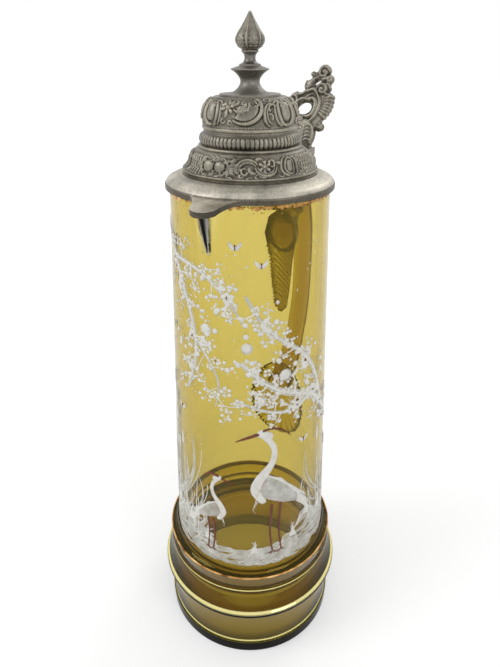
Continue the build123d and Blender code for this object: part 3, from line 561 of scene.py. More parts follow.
def pewter_material(name, base, dark, toned=False, edged=False):
    """Old pewter, cloudy, with painted shade in its corners and painted highlights on its sharp edges; toned follows
    the relief with painted shade and highlights, edged keeps upright faces dark with painted shade and tops lighter.
    """
    m, t, p = nodes_of(name)
    big, fine = (add(t, "TexNoise", Vector=coords(t), Scale=scale, Detail=detail, Roughness=rough).outputs["Fac"]
                 for scale, detail, rough in ((70.0, 6.0, 0.62), (900.0, 3.0, 0.6)))
    low, high = (tuple(min(1, k * b) for b in base) for k in (0.55, 1.35))
    clouds = ramp(t, big, [(0.28, low), (0.5, base), (0.75, high)])
    colour = times(t, clouds, ramp(t, fine, [(0.35, 0.78), (0.6, 1.05)]))
    # painted shade in the corners and painted highlights on sharp edges, by pointiness
    corners = add(t, "NewGeometry").outputs["Pointiness"]
    colour = times(t, colour, ramp(t, corners, [(0.44, dark), (0.5, (1.0, 1.0, 1.0)), (0.56, (1.25, 1.22, 1.16))]), 0.9)
    # painted shade in the relief's hollows, painted highlights on its ridges
    if toned:
        colour = times(t, colour, ramp(t, tone_of(t)["Fac"], [
            (0.0, (0.20, 0.19, 0.165)), (0.32, (0.55, 0.535, 0.50)), (0.62, (0.95, 0.935, 0.90)),
            (1.0, (1.18, 1.15, 1.08))]))
    # painted shade on upright faces, painted light on faces that look up
    if edged:
        up = add(t, "SeparateXYZ", Vector=coords(t, "Normal")).outputs["Z"]
        colour = times(t, colour, ramp(t, up, [
            (0.1, (0.20, 0.19, 0.17)), (0.50, (0.30, 0.285, 0.26)), (0.57, (0.95, 0.93, 0.90)),
            (0.8, (1.1, 1.09, 1.05)), (1.0, (1.1, 1.08, 1.03))]))
    feed(t, p, Base_Color=colour, Metallic=0.9, Roughness=ramp(t, big, [(0.3, 0.36), (0.7, 0.54)]))
    bumpy(t, p, calc(t, "MULTIPLY_ADD", fine, 0.4, big), 0.25, 0.0004)
    return m


def paint_material(name, stops, grain, rough, metallic=0.0, alpha=None):
    """Fired paint or gilding: mottled colour, and for a wash a streaky cover."""
    m, t, p = nodes_of(name)
    mottle = add(t, "TexNoise", Vector=coords(t), Scale=grain, Detail=5.0, Roughness=0.6).outputs["Fac"]
    fine = add(t, "TexNoise", Vector=coords(t), Scale=grain * 7, Detail=2.0).outputs["Fac"]
    feed(t, p, Base_Color=ramp(t, mottle, stops), Metallic=metallic,
         Roughness=ramp(t, fine, [(0.3, rough), (0.7, rough + 0.2)]))
    bumpy(t, p, fine, 0.3, 0.0002)
    if alpha:
        feed(t, p, Alpha=ramp(t, mottle, alpha))
    return m


GLASS = glass_material("amber_glass")
GLASS_CAD = glass_material("amber_glass_plain", toned=False)
PEWTER = pewter_material("pewter", (0.218, 0.206, 0.182), (0.3, 0.29, 0.27))
PEWTER_BRIM = pewter_material("pewter_brim", (0.445, 0.422, 0.372), (0.4, 0.39, 0.37), edged=True)
PEWTER_TONED = pewter_material("pewter_relief", (0.262, 0.248, 0.214), (0.5, 0.49, 0.47), toned=True)
ENAMEL = paint_material("white_enamel", [(0.3, (0.72, 0.70, 0.63)), (0.6, (0.86, 0.85, 0.79))], 260.0, 0.32)
WASH = paint_material("thin_white_enamel", [(0.3, (0.66, 0.66, 0.60)), (0.65, (0.82, 0.82, 0.77))], 130.0, 0.4,
                      alpha=[(0.3, 0.42), (0.7, 0.78)])
RUST = paint_material("rust_enamel", [(0.3, (0.10, 0.026, 0.014)), (0.65, (0.20, 0.055, 0.026))], 300.0, 0.5)
ROSE = paint_material("rose_enamel", [(0.3, (0.62, 0.26, 0.17)), (0.65, (0.72, 0.38, 0.27))], 300.0, 0.4)
GILT = paint_material("worn_gilding", [(0.34, (0.15, 0.07, 0.02)), (0.5, (0.50, 0.27, 0.08)),
                                       (0.68, (0.78, 0.50, 0.20))], 170.0, 0.3, metallic=0.9)

# the carried-over CAD nodes: pewter, with crisp edges where faces meet sharply
for name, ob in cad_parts.items():
    glass = name.startswith("glass")
    ob.data.materials.clear()
    ob.data.materials.append(GLASS_CAD if glass else PEWTER_BRIM if name == "lid_brim" else PEWTER)
    if not glass:
        crisp = ob.modifiers.new("crisp", "EDGE_SPLIT")
        crisp.split_angle = radians(28)


# ---- glass vessel: tube and foot in one mesh ----
BASE_R, BASE_H, FLANK_R = 59.5, 9.5, 57.0
LOW_R, LOW_Z, UP_R, UP_Z, UP_BAND = 62.5, 41.5, 57.3, 61.0, 11.5   # the two tooled rings, the band on the upper
JOIN_Z, LIP_Z, FOLD_SHADE_Z = 77.0, 272.0, 285.0    # where the tube, the pouring lip and the painted shade in its fold start
LIP_IN, LIP_OUT = 8.6, 8.3                    # how far the lip reaches out, bore and outside
AROUND = 384


def vessel_loop():
    """The section from under the foot up the outside, over the rim and down the inside, closed under the floor."""
    waist, band = LOW_Z - 4.5, UP_Z + UP_BAND
    outside = [(54.0, 0.4), (54.5, 0.0)] + chain(
        (BASE_R - 1, 0),
        ((BASE_R - 0.3, 0.3), (BASE_R, 1), 5),
        ((BASE_R, 5), (BASE_R, BASE_H - 1), 2),
        ((BASE_R - 0.3, BASE_H - 0.3), (BASE_R - 1, BASE_H), 5),
        ((FLANK_R, (BASE_H + waist) / 2), (FLANK_R + 1, waist), 16),
        ((LOW_R - 2.2, LOW_Z - 3.2), (LOW_R - 0.6, LOW_Z - 1.8), 6),
        ((LOW_R, LOW_Z), (LOW_R - 1.4, LOW_Z + 2.2), 10),
        ((UP_R - 0.6, (LOW_Z + UP_Z) / 2 + 1.5), (UP_R - 2, UP_Z - 2.5), 14),
        ((UP_R, UP_Z), (UP_R - 1.2, UP_Z + 2), 12),
        ((UP_R - 1.0, UP_Z + UP_BAND / 2), (UP_R - 0.3, band - 0.8), 6),
        ((UP_R - 0.9, band), (UP_R - 1.6, band - 0.6), 7),
        ((tube_r(JOIN_Z) + 1.7, JOIN_Z - 3.3), (tube_r(JOIN_Z), JOIN_Z), 12))
    tall, near_rim = (JOIN_Z, 268, 40), (271, RIM_Z - 1.1, 26)
    wall = [(tube_r(z), z) for part in (tall, near_rim) for z in np.linspace(*part)]
    rim = arc(wall[-1], (RIM_R - 1.5, RIM_Z), (RIM_R - WALL, RIM_Z - 1.1), 9)
    bore = [(tube_r(z) - WALL, z) for a, b, n in (near_rim, (62, 268, 40)) for z in np.linspace(b, a, n)]
    floor_r = tube_r(60) - WALL
    bore += arc((tube_r(60.5) - WALL, 60.5), (floor_r - 1.5, 57.0), (floor_r - 5, 55.5), 8)
    floor = [(r, 55.5 - 0.6 * (1 - r / 45.0)) for r in (44, 30, 15, 5)] + [(0, 54.9)]
    hollow = [(0, FLOOR_Z), (20, FLOOR_Z), (44, FLOOR_Z)] + arc((48.2, FLOOR_Z), (49.3, 49.6), (49.7, 48.5), 4)
    hollow += [(49.7, 47), (49.7, 44), (50.9, 32), (52.6, 14), (53.9, 1.4)]
    return [tuple(q) for q in even(outside, 0.6)[:-1]] + wall + rim + bore + floor + hollow


def lip_push(A, R, Z):
    """Pinches the pouring lip out of the rim on -Y."""
    off = np.abs((A + 1.5 * pi) % (2 * pi) - pi)
    s = np.clip((Z - LIP_Z) / (RIM_Z - LIP_Z), 0, 1)
    shape = 0.5 * (1 + np.cos(pi * np.clip(off / np.radians(6.0 + 5.5 * s), 0, 1) ** 0.86))
    reach = np.where(R < tube_r(Z) - 0.6 * WALL, LIP_IN, LIP_OUT)
    return R + reach * s ** 2.1 * shape


def glass_tints_and_shade(loop):
    """Colour and clearness of the vessel's surface: deeper on the foot, black painted shade on the ground edges and in
    the pinched fold, a lighter flare and pale lines where the rims catch the light, both painted light."""
    rows = []
    for r, z in loop:
        c = (1.0, 1.0, 1.0, 1.0)
        if z < JOIN_Z - 1 and r > tube_r(JOIN_Z) - 0.2:
            c = (0.56, 0.46, 0.05, 1.0) if z < 34 else (0.84, 0.80, 0.30, 1.0)
            # painted light: the flare's upper face lighter, where it catches the light
            if z > LOW_Z + 0.9 and r > UP_R + 0.4:
                c = (1.0, 0.98, 0.56, 1.0)
            # painted highlights: pale lines where the rims catch the light
            if UP_Z - 0.8 < z < UP_Z + 0.5 or LOW_Z + 1.5 < z < LOW_Z + 2.7 or 9.6 < z < 10.6:
                c = (0.92, 0.82, 0.34, 0.12)
            # painted shade: black on the lower ring's edge and round the base
            if r > LOW_R - 2.2 and LOW_Z - 2.8 < z < LOW_Z + 0.9 or z < 9.0:
                c = (0.004, 0.004, 0.005, 0.0)
            if r > UP_R - 1.7 and z > UP_Z + UP_BAND - 1.4:
                c = (0.40, 0.34, 0.08, 1.0)
        rows.append(c)
    tints = np.repeat(np.array(rows)[:, None, :], AROUND, 1)
    ang = (np.arange(AROUND) * 360 / AROUND + 270) % 360 - 180
    for i, (r, z) in enumerate(loop):
        s = (z - FOLD_SHADE_Z) / (RIM_Z - FOLD_SHADE_Z)
        if s > 0:
            # painted shade: black in the pinched fold of the lip
            mid, half = 0.4 - 1.4 * s, 0.7 + 4.8 * s
            fold = np.clip(2.2 * (1 - np.abs(ang - mid) / half), 0, 1)[:, None]
            tints[i] = tints[i] * (1 - fold) + np.array([0.006, 0.006, 0.004, 0.0]) * fold
    return tints.reshape(-1, 4)


turned("glass_vessel", vessel_loop(), AROUND, GLASS, "vessel", "amber_glass", ("glass_body", "glass_foot"),
       glass_tints_and_shade(vessel_loop()), push=lip_push, near=2e-5, apart=5e-5)


# ---- lid castings ----
def tangents(p):
    t = np.gradient(p, axis=0)
    return t / np.linalg.norm(t, axis=1, keepdims=True)


def relief_turned(name, outer, inner, relief, start, replaces, step=0.24, sink=0.22):
    """Turns the closed profile outer + inner about Z, with the relief standing on the outer part from start on."""
    p = even(outer, step)
    t = tangents(p)
    n = np.stack([t[:, 1], -t[:, 0]], 1)
    y = (run_of(p) - start) / relief.step_y
    y0 = np.clip(np.floor(y).astype(int), 0, relief.ny - 2)
    w = np.clip(y - y0, 0, 1)[:, None]
    live = ((y >= 0) & (y <= relief.ny - 1)).astype(float)[:, None]
    fade = np.clip(np.minimum(y, relief.ny - 1 - y) / 3.0, 0, 1)[:, None]
    def rows(field):
        return field[y0] * (1 - w) + field[y0 + 1] * w
    h = (rows(relief.h) - sink) * live * fade
    # the mouldings without relief: painted highlights on their edges, painted shade in their grooves
    bend = np.cross(t, np.gradient(t, axis=0)) / step
    bend = np.convolve(bend, [0.15, 0.2, 0.3, 0.2, 0.15], "same")[:, None]
    moulding_shade = np.clip(0.58 + 0.34 * np.clip(bend, -1.2, 1.0), 0.05, 1)
    # colour tone: the relief's painted shade and highlights on the relief, the mouldings' elsewhere
    tone = np.concatenate([rows(relief.tone()) * live + moulding_shade * (1 - live), np.full((len(inner), relief.nx), 0.5)])
    ang = FRONT + np.arange(relief.nx) * 2 * pi / relief.nx
    R, Z = (np.concatenate([p[:, k:k + 1] + h * n[:, k:k + 1], np.repeat(np.array(inner)[:, k:k + 1], relief.nx, 1)])
            for k in (0, 1))
    make(name, cylindrical(np.maximum(R, 0), ang, Z), grid_faces(*R.shape), PEWTER_TONED, "lid", "pewter", replaces,
         tone.reshape(-1), near=1e-6, apart=1e-6)


relief_turned(
    "crown_casting",
    arc((23.3, 338), (24.0, 339.1), (23.3, 340.1), 8)
    + smooth_line([(23.3, 340.1), (24, 343.6), (23.2, 347.5), (20.9, 351), (17.5, 352.8)])
    + [(15.0, 352.8), (1.32, 352.8)],
    [(1.32, 350.8), (16.5, 350.8), (18.6, 349.2), (20.3, 346.9), (21.1, 343), (21.3, 338)],
    crown_relief(23.5, 15.2), 2.6, ("lid_crown",))

relief_turned(
    "lower_band_casting",
    [(34.3, 318), (34.3, 318.7), (34.8, 318.9), (34.8, 319.6)]
    + chain((34.8, 319.7), ((32.2, 321.5), (30.9, 323.8), 16), ((29.7, 327.05), (27.2, 329.2), 16))
    + [(27.2, 329.2), (26.2, 329.6)],
    [(21.2, 329.6), (24.6, 327.8), (27.2, 325.0), (30.6, 320.4), (32.8, 318)],
    band_relief(31.0, 12.0), 1.9, ("lid_lower_band",))

relief_turned(
    "bud_casting",
    [(1.32, 372.6), (3.7, 372.6)]
    + smooth_line([(3.7, 372.6), (6.3, 374.98), (6.9, 376.9), (4.83, 381.2), (2.07, 385.64), (0.9, 387.6)])
    + arc((0.9, 387.6), (0.64, 388.24), (0, 388.5), 5) + [(0.0, 388.5)],
    [(0.0, 380.6), (1.32, 380.6)],
    bud_relief(6.0, 16.0), 3.6, ("finial_bud",), step=0.18, sink=0.12)

relief_turned(
    "reeded_casting",
    [(26.2, 329.6)] + arc((26.2, 329.6), (26.4, 330.2), (26.0, 330.8), 6) + [(26.0, 330.8), (24.5, 331.2)]
    + arc((24.5, 331.2), (25.5, 333.7), (23.7, 336.5), 24) + [(23.7, 336.5), (23.3, 337.1), (23.3, 338)],
    [(21.2, 338), (21.2, 329.6)],
    reed_relief(25.0, 5.6), 2.9, ("lid_reeded_ring",), sink=0.24)


# ---- thumb-lift: an openwork casting, the same on both faces ----
SHELL = (16.3, 39.4)   # where the shell's fluted edge starts


def field_distance(px, py, loops):
    """Signed distance to closed outlines, positive inside the first and outside the others."""
    best = np.full(px.shape, 1e9)
    inside = np.zeros(px.shape, bool)
    for loop in loops:
        q = np.array(loop)
        for (ax, ay), (bx, by) in zip(q, np.roll(q, -1, 0)):
            dx, dy = bx - ax, by - ay
            t = np.clip(((px - ax) * dx + (py - ay) * dy) / (dx * dx + dy * dy + 1e-12), 0, 1)
            best = np.minimum(best, (px - ax - t * dx) ** 2 + (py - ay - t * dy) ** 2)
            if ay != by:
                inside ^= ((ay > py) != (by > py)) & (px < ax + (py - ay) * dx / (by - ay))
    return np.where(inside, 1, -1) * np.sqrt(best)


def rounded(d, radius):
    """A quarter-round edge: 0 on the outline, 1 from radius inwards."""
    return np.sqrt(np.clip(1 - (1 - np.clip(d / radius, 0, 1)) ** 2, 0, 1))


def ellipse(cx, cy, a, b, tilt, n=48):
    t = np.linspace(0, 2 * pi, n, endpoint=False)
    c, s = cos(radians(tilt)), sin(radians(tilt))
    return np.stack([cx + a * np.cos(t) * c - b * np.sin(t) * s, cy + a * np.cos(t) * s + b * np.sin(t) * c], 1)


def shell_edge(s, bulge=0.0, drop=0.0):
    """A point on the shell's edge, s from 0 to 1 down its length."""
    bow = 1.7 * sin(pi * s)
    return SHELL[0] + bow - 4.2 * s + bulge, SHELL[1] - 13.7 * s - bow * 0.3 - drop


def thumb_outline():
    ends = [((-6.9, 17.5), (-5.8, 22.6)), ((-8.2, 24.6), (-8.4, 27.4)), ((-12.4, 30.4), (-13.4, 35.0)),
            ((-10.8, 38.6), (-7.2, 41.1)), ((-5.0, 40.4), (-2.2, 42.0)), ((-3.1, 44.7), (-2.1, 47.4)),
            ((0.2, 47.8), (1.3, 49.4)), ((0.1, 51.2), (2.4, 52.2)), ((3.5, 51.9), (4.4, 52.8)),
            ((7.9, 56.2), (12.1, 53.4)), ((11.9, 51.4), (10.4, 50.2)), ((14.2, 49.6), (14.3, 46.7)),
            ((13.3, 45.3), (14.0, 43.5)), ((13.6, 41.6), (11.9, 40.7)), ((14.0, 40.7), SHELL)]
    ends += [(shell_edge((k + 0.5) / 6, 0.6, 0.2), shell_edge((k + 1) / 6)) for k in range(6)]
    ends += [((11.5, 24.6), (11.7, 23.6)), ((13.3, 21.0), (11.2, 19.2)), ((9.6, 18.9), (8.0, 20.2)),
             ((8.4, 15.8), (7.2, 12.0))]
    return [(-4.8, 8.6)] + chain((-4.8, 12.0), *((mid, end, 8) for mid, end in ends)) + [(7.2, 12.0), (7.2, 8.6)]


def thumb_relief(u0, v0, width, height):
    g = Relief(width, height, 0.18, wrap=False)
    def line(pts, r, h):
        g.stroke(spline([(x - u0, y - v0) for x, y in pts], 40), np.multiply(r, 1.25), h)
    def curl(x, y, r, turns, start, hand, w, h):
        t = np.linspace(0, 1, 70)
        rad = r * (1 - 0.78 * t)
        a = radians(start) + hand * 2 * pi * turns * t
        g.stroke(np.stack([x - u0 + rad * np.cos(a), y - v0 + rad * np.sin(a)], 1), [w, w, w * 0.85, w * 0.6], h)
        g.dab(x - u0, y - v0, w * 0.9, h * 1.15)
    # volutes: centre, radius, turns, start, hand, width, height
    for volute in ((8.3, 51.7, 3.6, 1.35, 20, 1, 1.15, 1.7), (12.0, 48.0, 1.8, 1.0, 60, -1, 0.8, 1.4),
                   (8.7, 42.4, 3.2, 1.3, 160, -1, 1.05, 1.7), (-2.3, 25.9, 2.6, 1.2, 60, 1, 0.95, 1.6),
                   (10.6, 21.5, 1.9, 1.0, 110, -1, 0.8, 1.5), (-9.0, 36.4, 3.0, 1.15, -60, 1, 0.95, 1.5),
                   (-0.4, 45.2, 1.9, 1.0, 240, 1, 0.75, 1.3), (1.2, 50.2, 1.2, 0.9, 200, -1, 0.6, 1.2)):
        curl(*volute)
    # stems between them
    line([(-0.5, 43.2), (2.6, 47.6), (5.6, 49.2)], [0.8, 1.0, 0.7], 1.35)
    line([(-2.0, 41.0), (1.2, 41.6), (3.6, 42.4), (5.6, 40.4)], [0.7, 1.0, 1.0, 0.7], 1.4)
    line([(5.6, 47.6), (9.0, 47.8), (12.6, 50.0)], [0.6, 0.9, 0.8], 1.4)
    line([(10.6, 45.4), (12.6, 44.9), (13.6, 43.2)], [0.6, 0.8, 0.6], 1.2)
    line([(11.6, 40.0), (14.2, 39.8), (16.0, 38.6)], [0.7, 0.9, 0.6], 1.3)
    # the great scroll round the opening, and its outer fellows
    line([(1.6, 37.2), (4.6, 37.0), (6.1, 33.4), (5.4, 29.6), (2.6, 27.0), (-0.6, 27.4)],
         [0.7, 1.1, 1.2, 1.1, 0.9, 0.6], 1.7)
    g.dab(2.2 - u0, 36.6 - v0, 1.25, 1.8)
    line([(6.0, 40.0), (8.2, 35.8), (8.0, 30.6), (5.6, 26.2), (2.4, 23.4)], [0.5, 0.75, 0.85, 0.75, 0.5], 1.35)
    line([(-6.6, 27.6), (-7.0, 31.6), (-5.0, 35.6), (-1.6, 37.0), (0.8, 36.4)], [0.6, 0.95, 1.1, 0.95, 0.6], 1.55)
    line([(-11.8, 33.4), (-8.6, 39.4), (-4.6, 39.4), (-1.6, 41.0)], [0.5, 0.8, 0.8, 0.6], 1.2)
    line([(-4.2, 33.8), (-2.2, 36.0), (0.6, 38.6), (3.2, 39.8)], [0.4, 0.7, 0.7, 0.4], 1.1)
    # shell ribs
    for k in range(7):
        s = (k + 0.4) / 7
        x, y = shell_edge(s)
        a = radians(52 * s - 12)
        line([polar(x, y, -5.4, a, 5.4), polar(x, y, -2.6, a, 2.6), (x - 0.3, y)],
             [0.35, 0.75, 0.85], [0.9, 1.35, 1.1])
    # leaf over the block, with veins
    line([(1.3, 11.2), (1.3, 16.4), (1.3, 21.6)], [3.0, 5.0, 3.2], 1.25)
    for k in range(5):
        y = 12.4 + 2.1 * k
        for side in (-1, 1):
            line([(1.3 + side * 0.4, y), (1.3 + side * 2.6, y + 1.4), (1.3 + side * (4.4 - 0.3 * k), y + 1.0)],
                 [0.3, 0.5, 0.4], 1.55)
    line([(1.3, 10.6), (1.3, 22.6)], [0.55, 0.4], 1.85)
    line([(-3.9, 12.0), (-4.8, 17.0), (-3.6, 22.0), (-0.6, 23.6)], [0.6, 0.8, 0.8, 0.5], 1.4)
    line([(6.3, 12.0), (7.2, 16.4), (6.2, 21.0), (3.6, 23.4)], [0.6, 0.8, 0.8, 0.5], 1.4)
    return g


def thumb_lift():
    u0, v0, width, height = -15.0, 8.4, 34.0, 49.0
    g = thumb_relief(u0, v0, width, height)
    xs, ys = np.meshgrid(np.arange(g.nx) * g.step_x + u0, np.arange(g.ny) * g.step_y + v0)
    d = field_distance(xs, ys, [thumb_outline(), ellipse(-0.8, 31.5, 4.5, 3.3, 18), ellipse(5.4, 46.2, 2.3, 0.9, 33)])
    edge = rounded(d, 1.5)
    g.h = g.blurred(0.34)
    # strength and middle of the relief's painted shade and highlights
    g.deep, g.level = 0.62, 0.60
    used, meet, quads = cells_of(d > 0)
    # the outermost points move out onto the outline
    gy, gx = np.gradient(d, g.step_y, g.step_x)
    off = np.where(meet < 4, d, 0) / (np.sqrt(gx ** 2 + gy ** 2) + 1e-9)
    U, V = (xs - gx * off)[used], (ys - gy * off)[used]
    H = ((1.3 + g.h * 0.85) * (0.22 + 0.78 * edge))[used]
    # the relief's painted shade and highlights, with more painted shade towards the rounded outline
    T = (g.tone() * (0.66 + 0.34 * edge))[used]
    up, back = cos(THUMB_LEAN), sin(THUMB_LEAN)
    verts = np.concatenate([np.stack([U, HINGE_Y - 1.0 + V * back - w * up, HINGE_Z + V * up + w * back], 1) * MM
                            for w in (H, -H)])
    make("thumb_lift_casting", verts, slab_faces(quads, len(U)), PEWTER_TONED, "lid", "pewter", ("thumb_lift",),
         np.concatenate([T, T]))


thumb_lift()


# ---- applied handle: loop, crimped tail and serrated leaf, melted into one piece ----
LEAF_Z, LEAF_W, LEAF_H, PAD_Z, PAD = 145.0, 22.0, 31.5, 271.0, 3.4
CRIMP, VOXEL, ROUNDS = 3.6, 0.42, 3    # the crimps' pitch, the melt's voxels and its rounds of smoothing
LOOP = [(tube_r(271) - 2, 271), (56, 284), (62, 287), (68, 289.4), (77, 289.8), (86.8, 280), (93.3, 264), (95.6, 239),
        (91.3, 207), (77.8, 183), (tube_r(157) + 14, 167), (tube_r(157) - 2, 156)]


def loop_tube(n=150, m=40):
    """The handle's loop: a flattened tube, wide at its roots."""
    p = spline(LOOP, n)
    t = tangents(p)
    place, wide, thick = np.array([
        (0, 1.35, 2.0), (0.05, 1.14, 1.5), (0.105, 0.94, 1.06), (0.155, 0.94, 1.02), (0.24, 1.06, 1.0),
        (0.34, 1.22, 0.98), (0.5, 1.24, 0.98), (0.66, 1.12, 1.0), (0.78, 1.0, 1.0), (0.9, 1.0, 1.1), (1.0, 1.3, 1.3)]).T
    s = np.linspace(0, 1, n)[:, None]
    a = np.arange(m) * 2 * pi / m
    x = 8.5 * np.interp(s, place, wide) * np.cos(a)
    # the glass is drawn out with a shallow groove along its back
    w = 4.3 * np.interp(s, place, thick) * np.sin(a) * (1 - 0.10 * np.exp(-(x / 3.0) ** 2))
    verts = np.stack([x, p[:, :1] - w * t[:, 1:], p[:, 1:] + w * t[:, :1]], -1).reshape(-1, 3)
    ends = [tuple(range(m))[::-1], tuple(range((n - 1) * m, n * m))]
    return verts, grid_faces(n, m, closed=False).tolist() + ends


def wall_pad(loop, thick, half, z0, z1, step=0.5):
    """A pad pressed on the back of the tube; thick gives its thickness from the place and the distance to its edge."""
    xs, zs = np.meshgrid(np.arange(-half, half, step), np.arange(z0, z1, step))
    d = field_distance(xs, zs, [loop])
    used, meet, quads = cells_of(d > -0.2)
    x, z = xs[used], zs[used]
    def at(r):
        return np.stack([x, np.sqrt(np.clip(r ** 2 - x ** 2, 1, None)), z], -1)
    outer = tube_r(z) + thick(x, z, np.clip(d[used], 0, None))
    return np.concatenate([at(outer), at(tube_r(z) - 1.4)]), slab_faces(quads, len(x)).tolist()


def leaf_place(x, z):
    """Angle round the leaf's middle, and how far out: 1 on its edge."""
    return np.arctan2(z - LEAF_Z, x), np.hypot(x / LEAF_W, (z - LEAF_Z) / LEAF_H)


def crimps(x, z):
    """The tongs' ridges across the tail."""
    return np.cos(2 * pi * (z + 0.8 * x) / CRIMP)


def leaf_loop(n=360, teeth=54):
    a = np.arange(n) * 2 * pi / n
    saw = (a * teeth / (2 * pi)) % 1.0
    k = 1 + np.where(np.sin(a) < 0.8, 0.10 * (saw - 0.6), 0)
    return np.stack([LEAF_W * k * np.cos(a), LEAF_Z + LEAF_H * k * np.sin(a) * (1 + 0.06 * np.cos(a) ** 2)], 1)


def leaf_thick(x, z, d):
    a, q = leaf_place(x, z)
    crease = 0.24 * np.cos(27 * a) * np.clip(q - 0.5, 0, 0.5) * 2
    hollow = 0.5 * np.exp(-((q - 0.55) / 0.22) ** 2)
    return (PAD - 0.5 + crease - hollow) * rounded(d, 2.2) + 0.05


def tail_loop(n=60):
    """The crimped tail under the upper root: teeth down its -X edge and at its end."""
    left, right = [], []
    top, low = PAD_Z + 15.5, PAD_Z - 53.5
    for i in range(n + 1):
        z = top + (low - top) * i / n
        half = np.interp(i / n, [0, 0.06, 0.22, 0.45, 0.75, 0.94, 1.0], [3.5, 9.0, 11.5, 8.4, 6.6, 4.6, 0.6])
        tooth = 1.3 * ((i % 2) * 2 - 1) if 20 < i < n else 0
        left.append((-half - tooth, z))
        right.append((half + 0.25 * tooth, z))
    return left + right[::-1]


def tail_thick(x, z, d):
    return (PAD - 0.6 + 0.75 * crimps(x, z) * (z < PAD_Z - 6)) * rounded(d, 2.0) + 0.05


def blob(centre, radii, n=24, m=36):
    """A closed ellipsoid."""
    a, b = (np.arange(1, n) * pi / n - pi / 2)[:, None], np.arange(m) * 2 * pi / m
    rings = np.stack([np.cos(a) * np.cos(b), np.cos(a) * np.sin(b), np.sin(a) + 0 * b], -1).reshape(-1, 3)
    verts = np.concatenate([rings, [(0, 0, -1), (0, 0, 1)]]) * radii + centre
    last = (n - 2) * m
    low, high = len(rings), len(rings) + 1
    caps = [f for j in range(m) for f in ((low, (j + 1) % m, j), (high, last + j, last + (j + 1) % m))]
    return verts, grid_faces(n - 1, m, closed=False).tolist() + caps


def melted(*shells):
    """Union of closed shells by voxels, smoothed and kept out of the tube's wall; returns mesh and points."""
    verts, faces = [], []
    for v, f in shells:
        faces += [tuple(i + len(verts) for i in q) for q in f]
        verts += v.tolist()
    mesh = bpy.data.meshes.new("rough")
    mesh.from_pydata([tuple(c * MM for c in v) for v in verts], [], faces)
    outward(mesh)
    rough = bpy.data.objects.new("rough", mesh)
    bpy.context.scene.collection.objects.link(rough)
    mod = rough.modifiers.new("voxels", "REMESH")
    mod.mode, mod.voxel_size = "VOXEL", VOXEL * MM
    done = bpy.data.meshes.new_from_object(rough.evaluated_get(bpy.context.evaluated_depsgraph_get()))
    bpy.data.objects.remove(rough)
    co, ed = np.empty(len(done.vertices) * 3), np.empty(len(done.edges) * 2, int)
    done.vertices.foreach_get("co", co)
    done.edges.foreach_get("vertices", ed)
    co, ed = co.reshape(-1, 3), ed.reshape(-1, 2)
    deg = np.bincount(ed.ravel(), minlength=len(co))[:, None]
    for _ in range(ROUNDS):
        acc = np.zeros_like(co)
        np.add.at(acc, ed[:, 0], co[ed[:, 1]])
        np.add.at(acc, ed[:, 1], co[ed[:, 0]])
        co = co * 0.4 + acc / deg * 0.6
    r = np.hypot(co[:, 0], co[:, 1])
    least = (tube_r(co[:, 2] / MM) - 0.45) * MM
    co[:, :2] *= np.where(r < least, least / np.maximum(r, 1e-9), 1)[:, None]
    done.vertices.foreach_set("co", co.ravel())
    done.materials.clear()
    return done, co


def handle_tone(x, y, z):
    """Painted shade where the handle starts, in its thick glass, and lighter along the loop, where it is thinner."""
    # painted shade round the upper root
    near = np.exp(-((y - 50) / 11) ** 2 - ((z - 276) / 15) ** 2)[:, None]
    tone = np.array([0.86, 0.80, 0.38]) * (1 - near) + np.array([0.34, 0.27, 0.07]) * near
    # the crimps and ribs the tongs left are streaked with painted light and shade
    pressed = np.hypot(x, y) - tube_r(z) < 4.5
    a, q = leaf_place(x, z)
    ribs = np.cos(27 * a) * np.clip(q - 0.5, 0, 0.5) * 0.7
    tail = np.where((z > 212) & (z < PAD_Z - 6), 0.6 * crimps(x, z) - 0.1, 0)
    return np.clip(tone * (1 + pressed * np.where(z < 190, ribs, tail))[:, None], 0, 1)


mesh, co = melted(loop_tube(), wall_pad(leaf_loop(), leaf_thick, 25, LEAF_Z - 36, LEAF_Z + 36),
                  wall_pad(tail_loop(), tail_thick, 14, PAD_Z - 58, PAD_Z + 19),
                  blob((0, 46.5, 273), (11.3, 8.5, 13.5)))
dress("applied_handle", mesh, GLASS, "vessel", "amber_glass", ("glass_handle",), handle_tone(*co.T / MM))


# ---- enamel and gilding on the tube ----
EX0, EZ0, EW, EH = -72.0, 77.6, 144.0, 222.0   # the painted field: x runs round from the camera's side


def wall_sheet(name, g, x0, z0, threshold, lift, material, mid_r=47.0):
    """A painted layer: the height map's raised cells, laid on the tube as a closed skin."""
    xs, zs = np.meshgrid(np.arange(g.nx) * g.step_x + x0, np.arange(g.ny) * g.step_y + z0)
    used, meet, quads = cells_of(g.h > threshold)
    rim, over = meet < 4, g.h - threshold
    gz, gx = np.gradient(g.h, g.step_y, g.step_x)
    slope = np.sqrt(gx ** 2 + gz ** 2) + 1e-6
    off = np.where(rim, np.clip(over / slope, 0, 0.6 * g.step_x), 0) / slope
    ang, Z = FRONT + (xs - gx * off)[used] / mid_r, (zs - gz * off)[used]
    thick = (np.where(rim, 0.015, np.clip(over, 0.02, None)) + lift)[used]
    verts = np.concatenate([cylindrical(r, ang, Z) for r in (tube_r(Z) + thick, tube_r(Z) + 0.02)])
    make(name, verts, slab_faces(quads, len(Z)), material, "vessel")


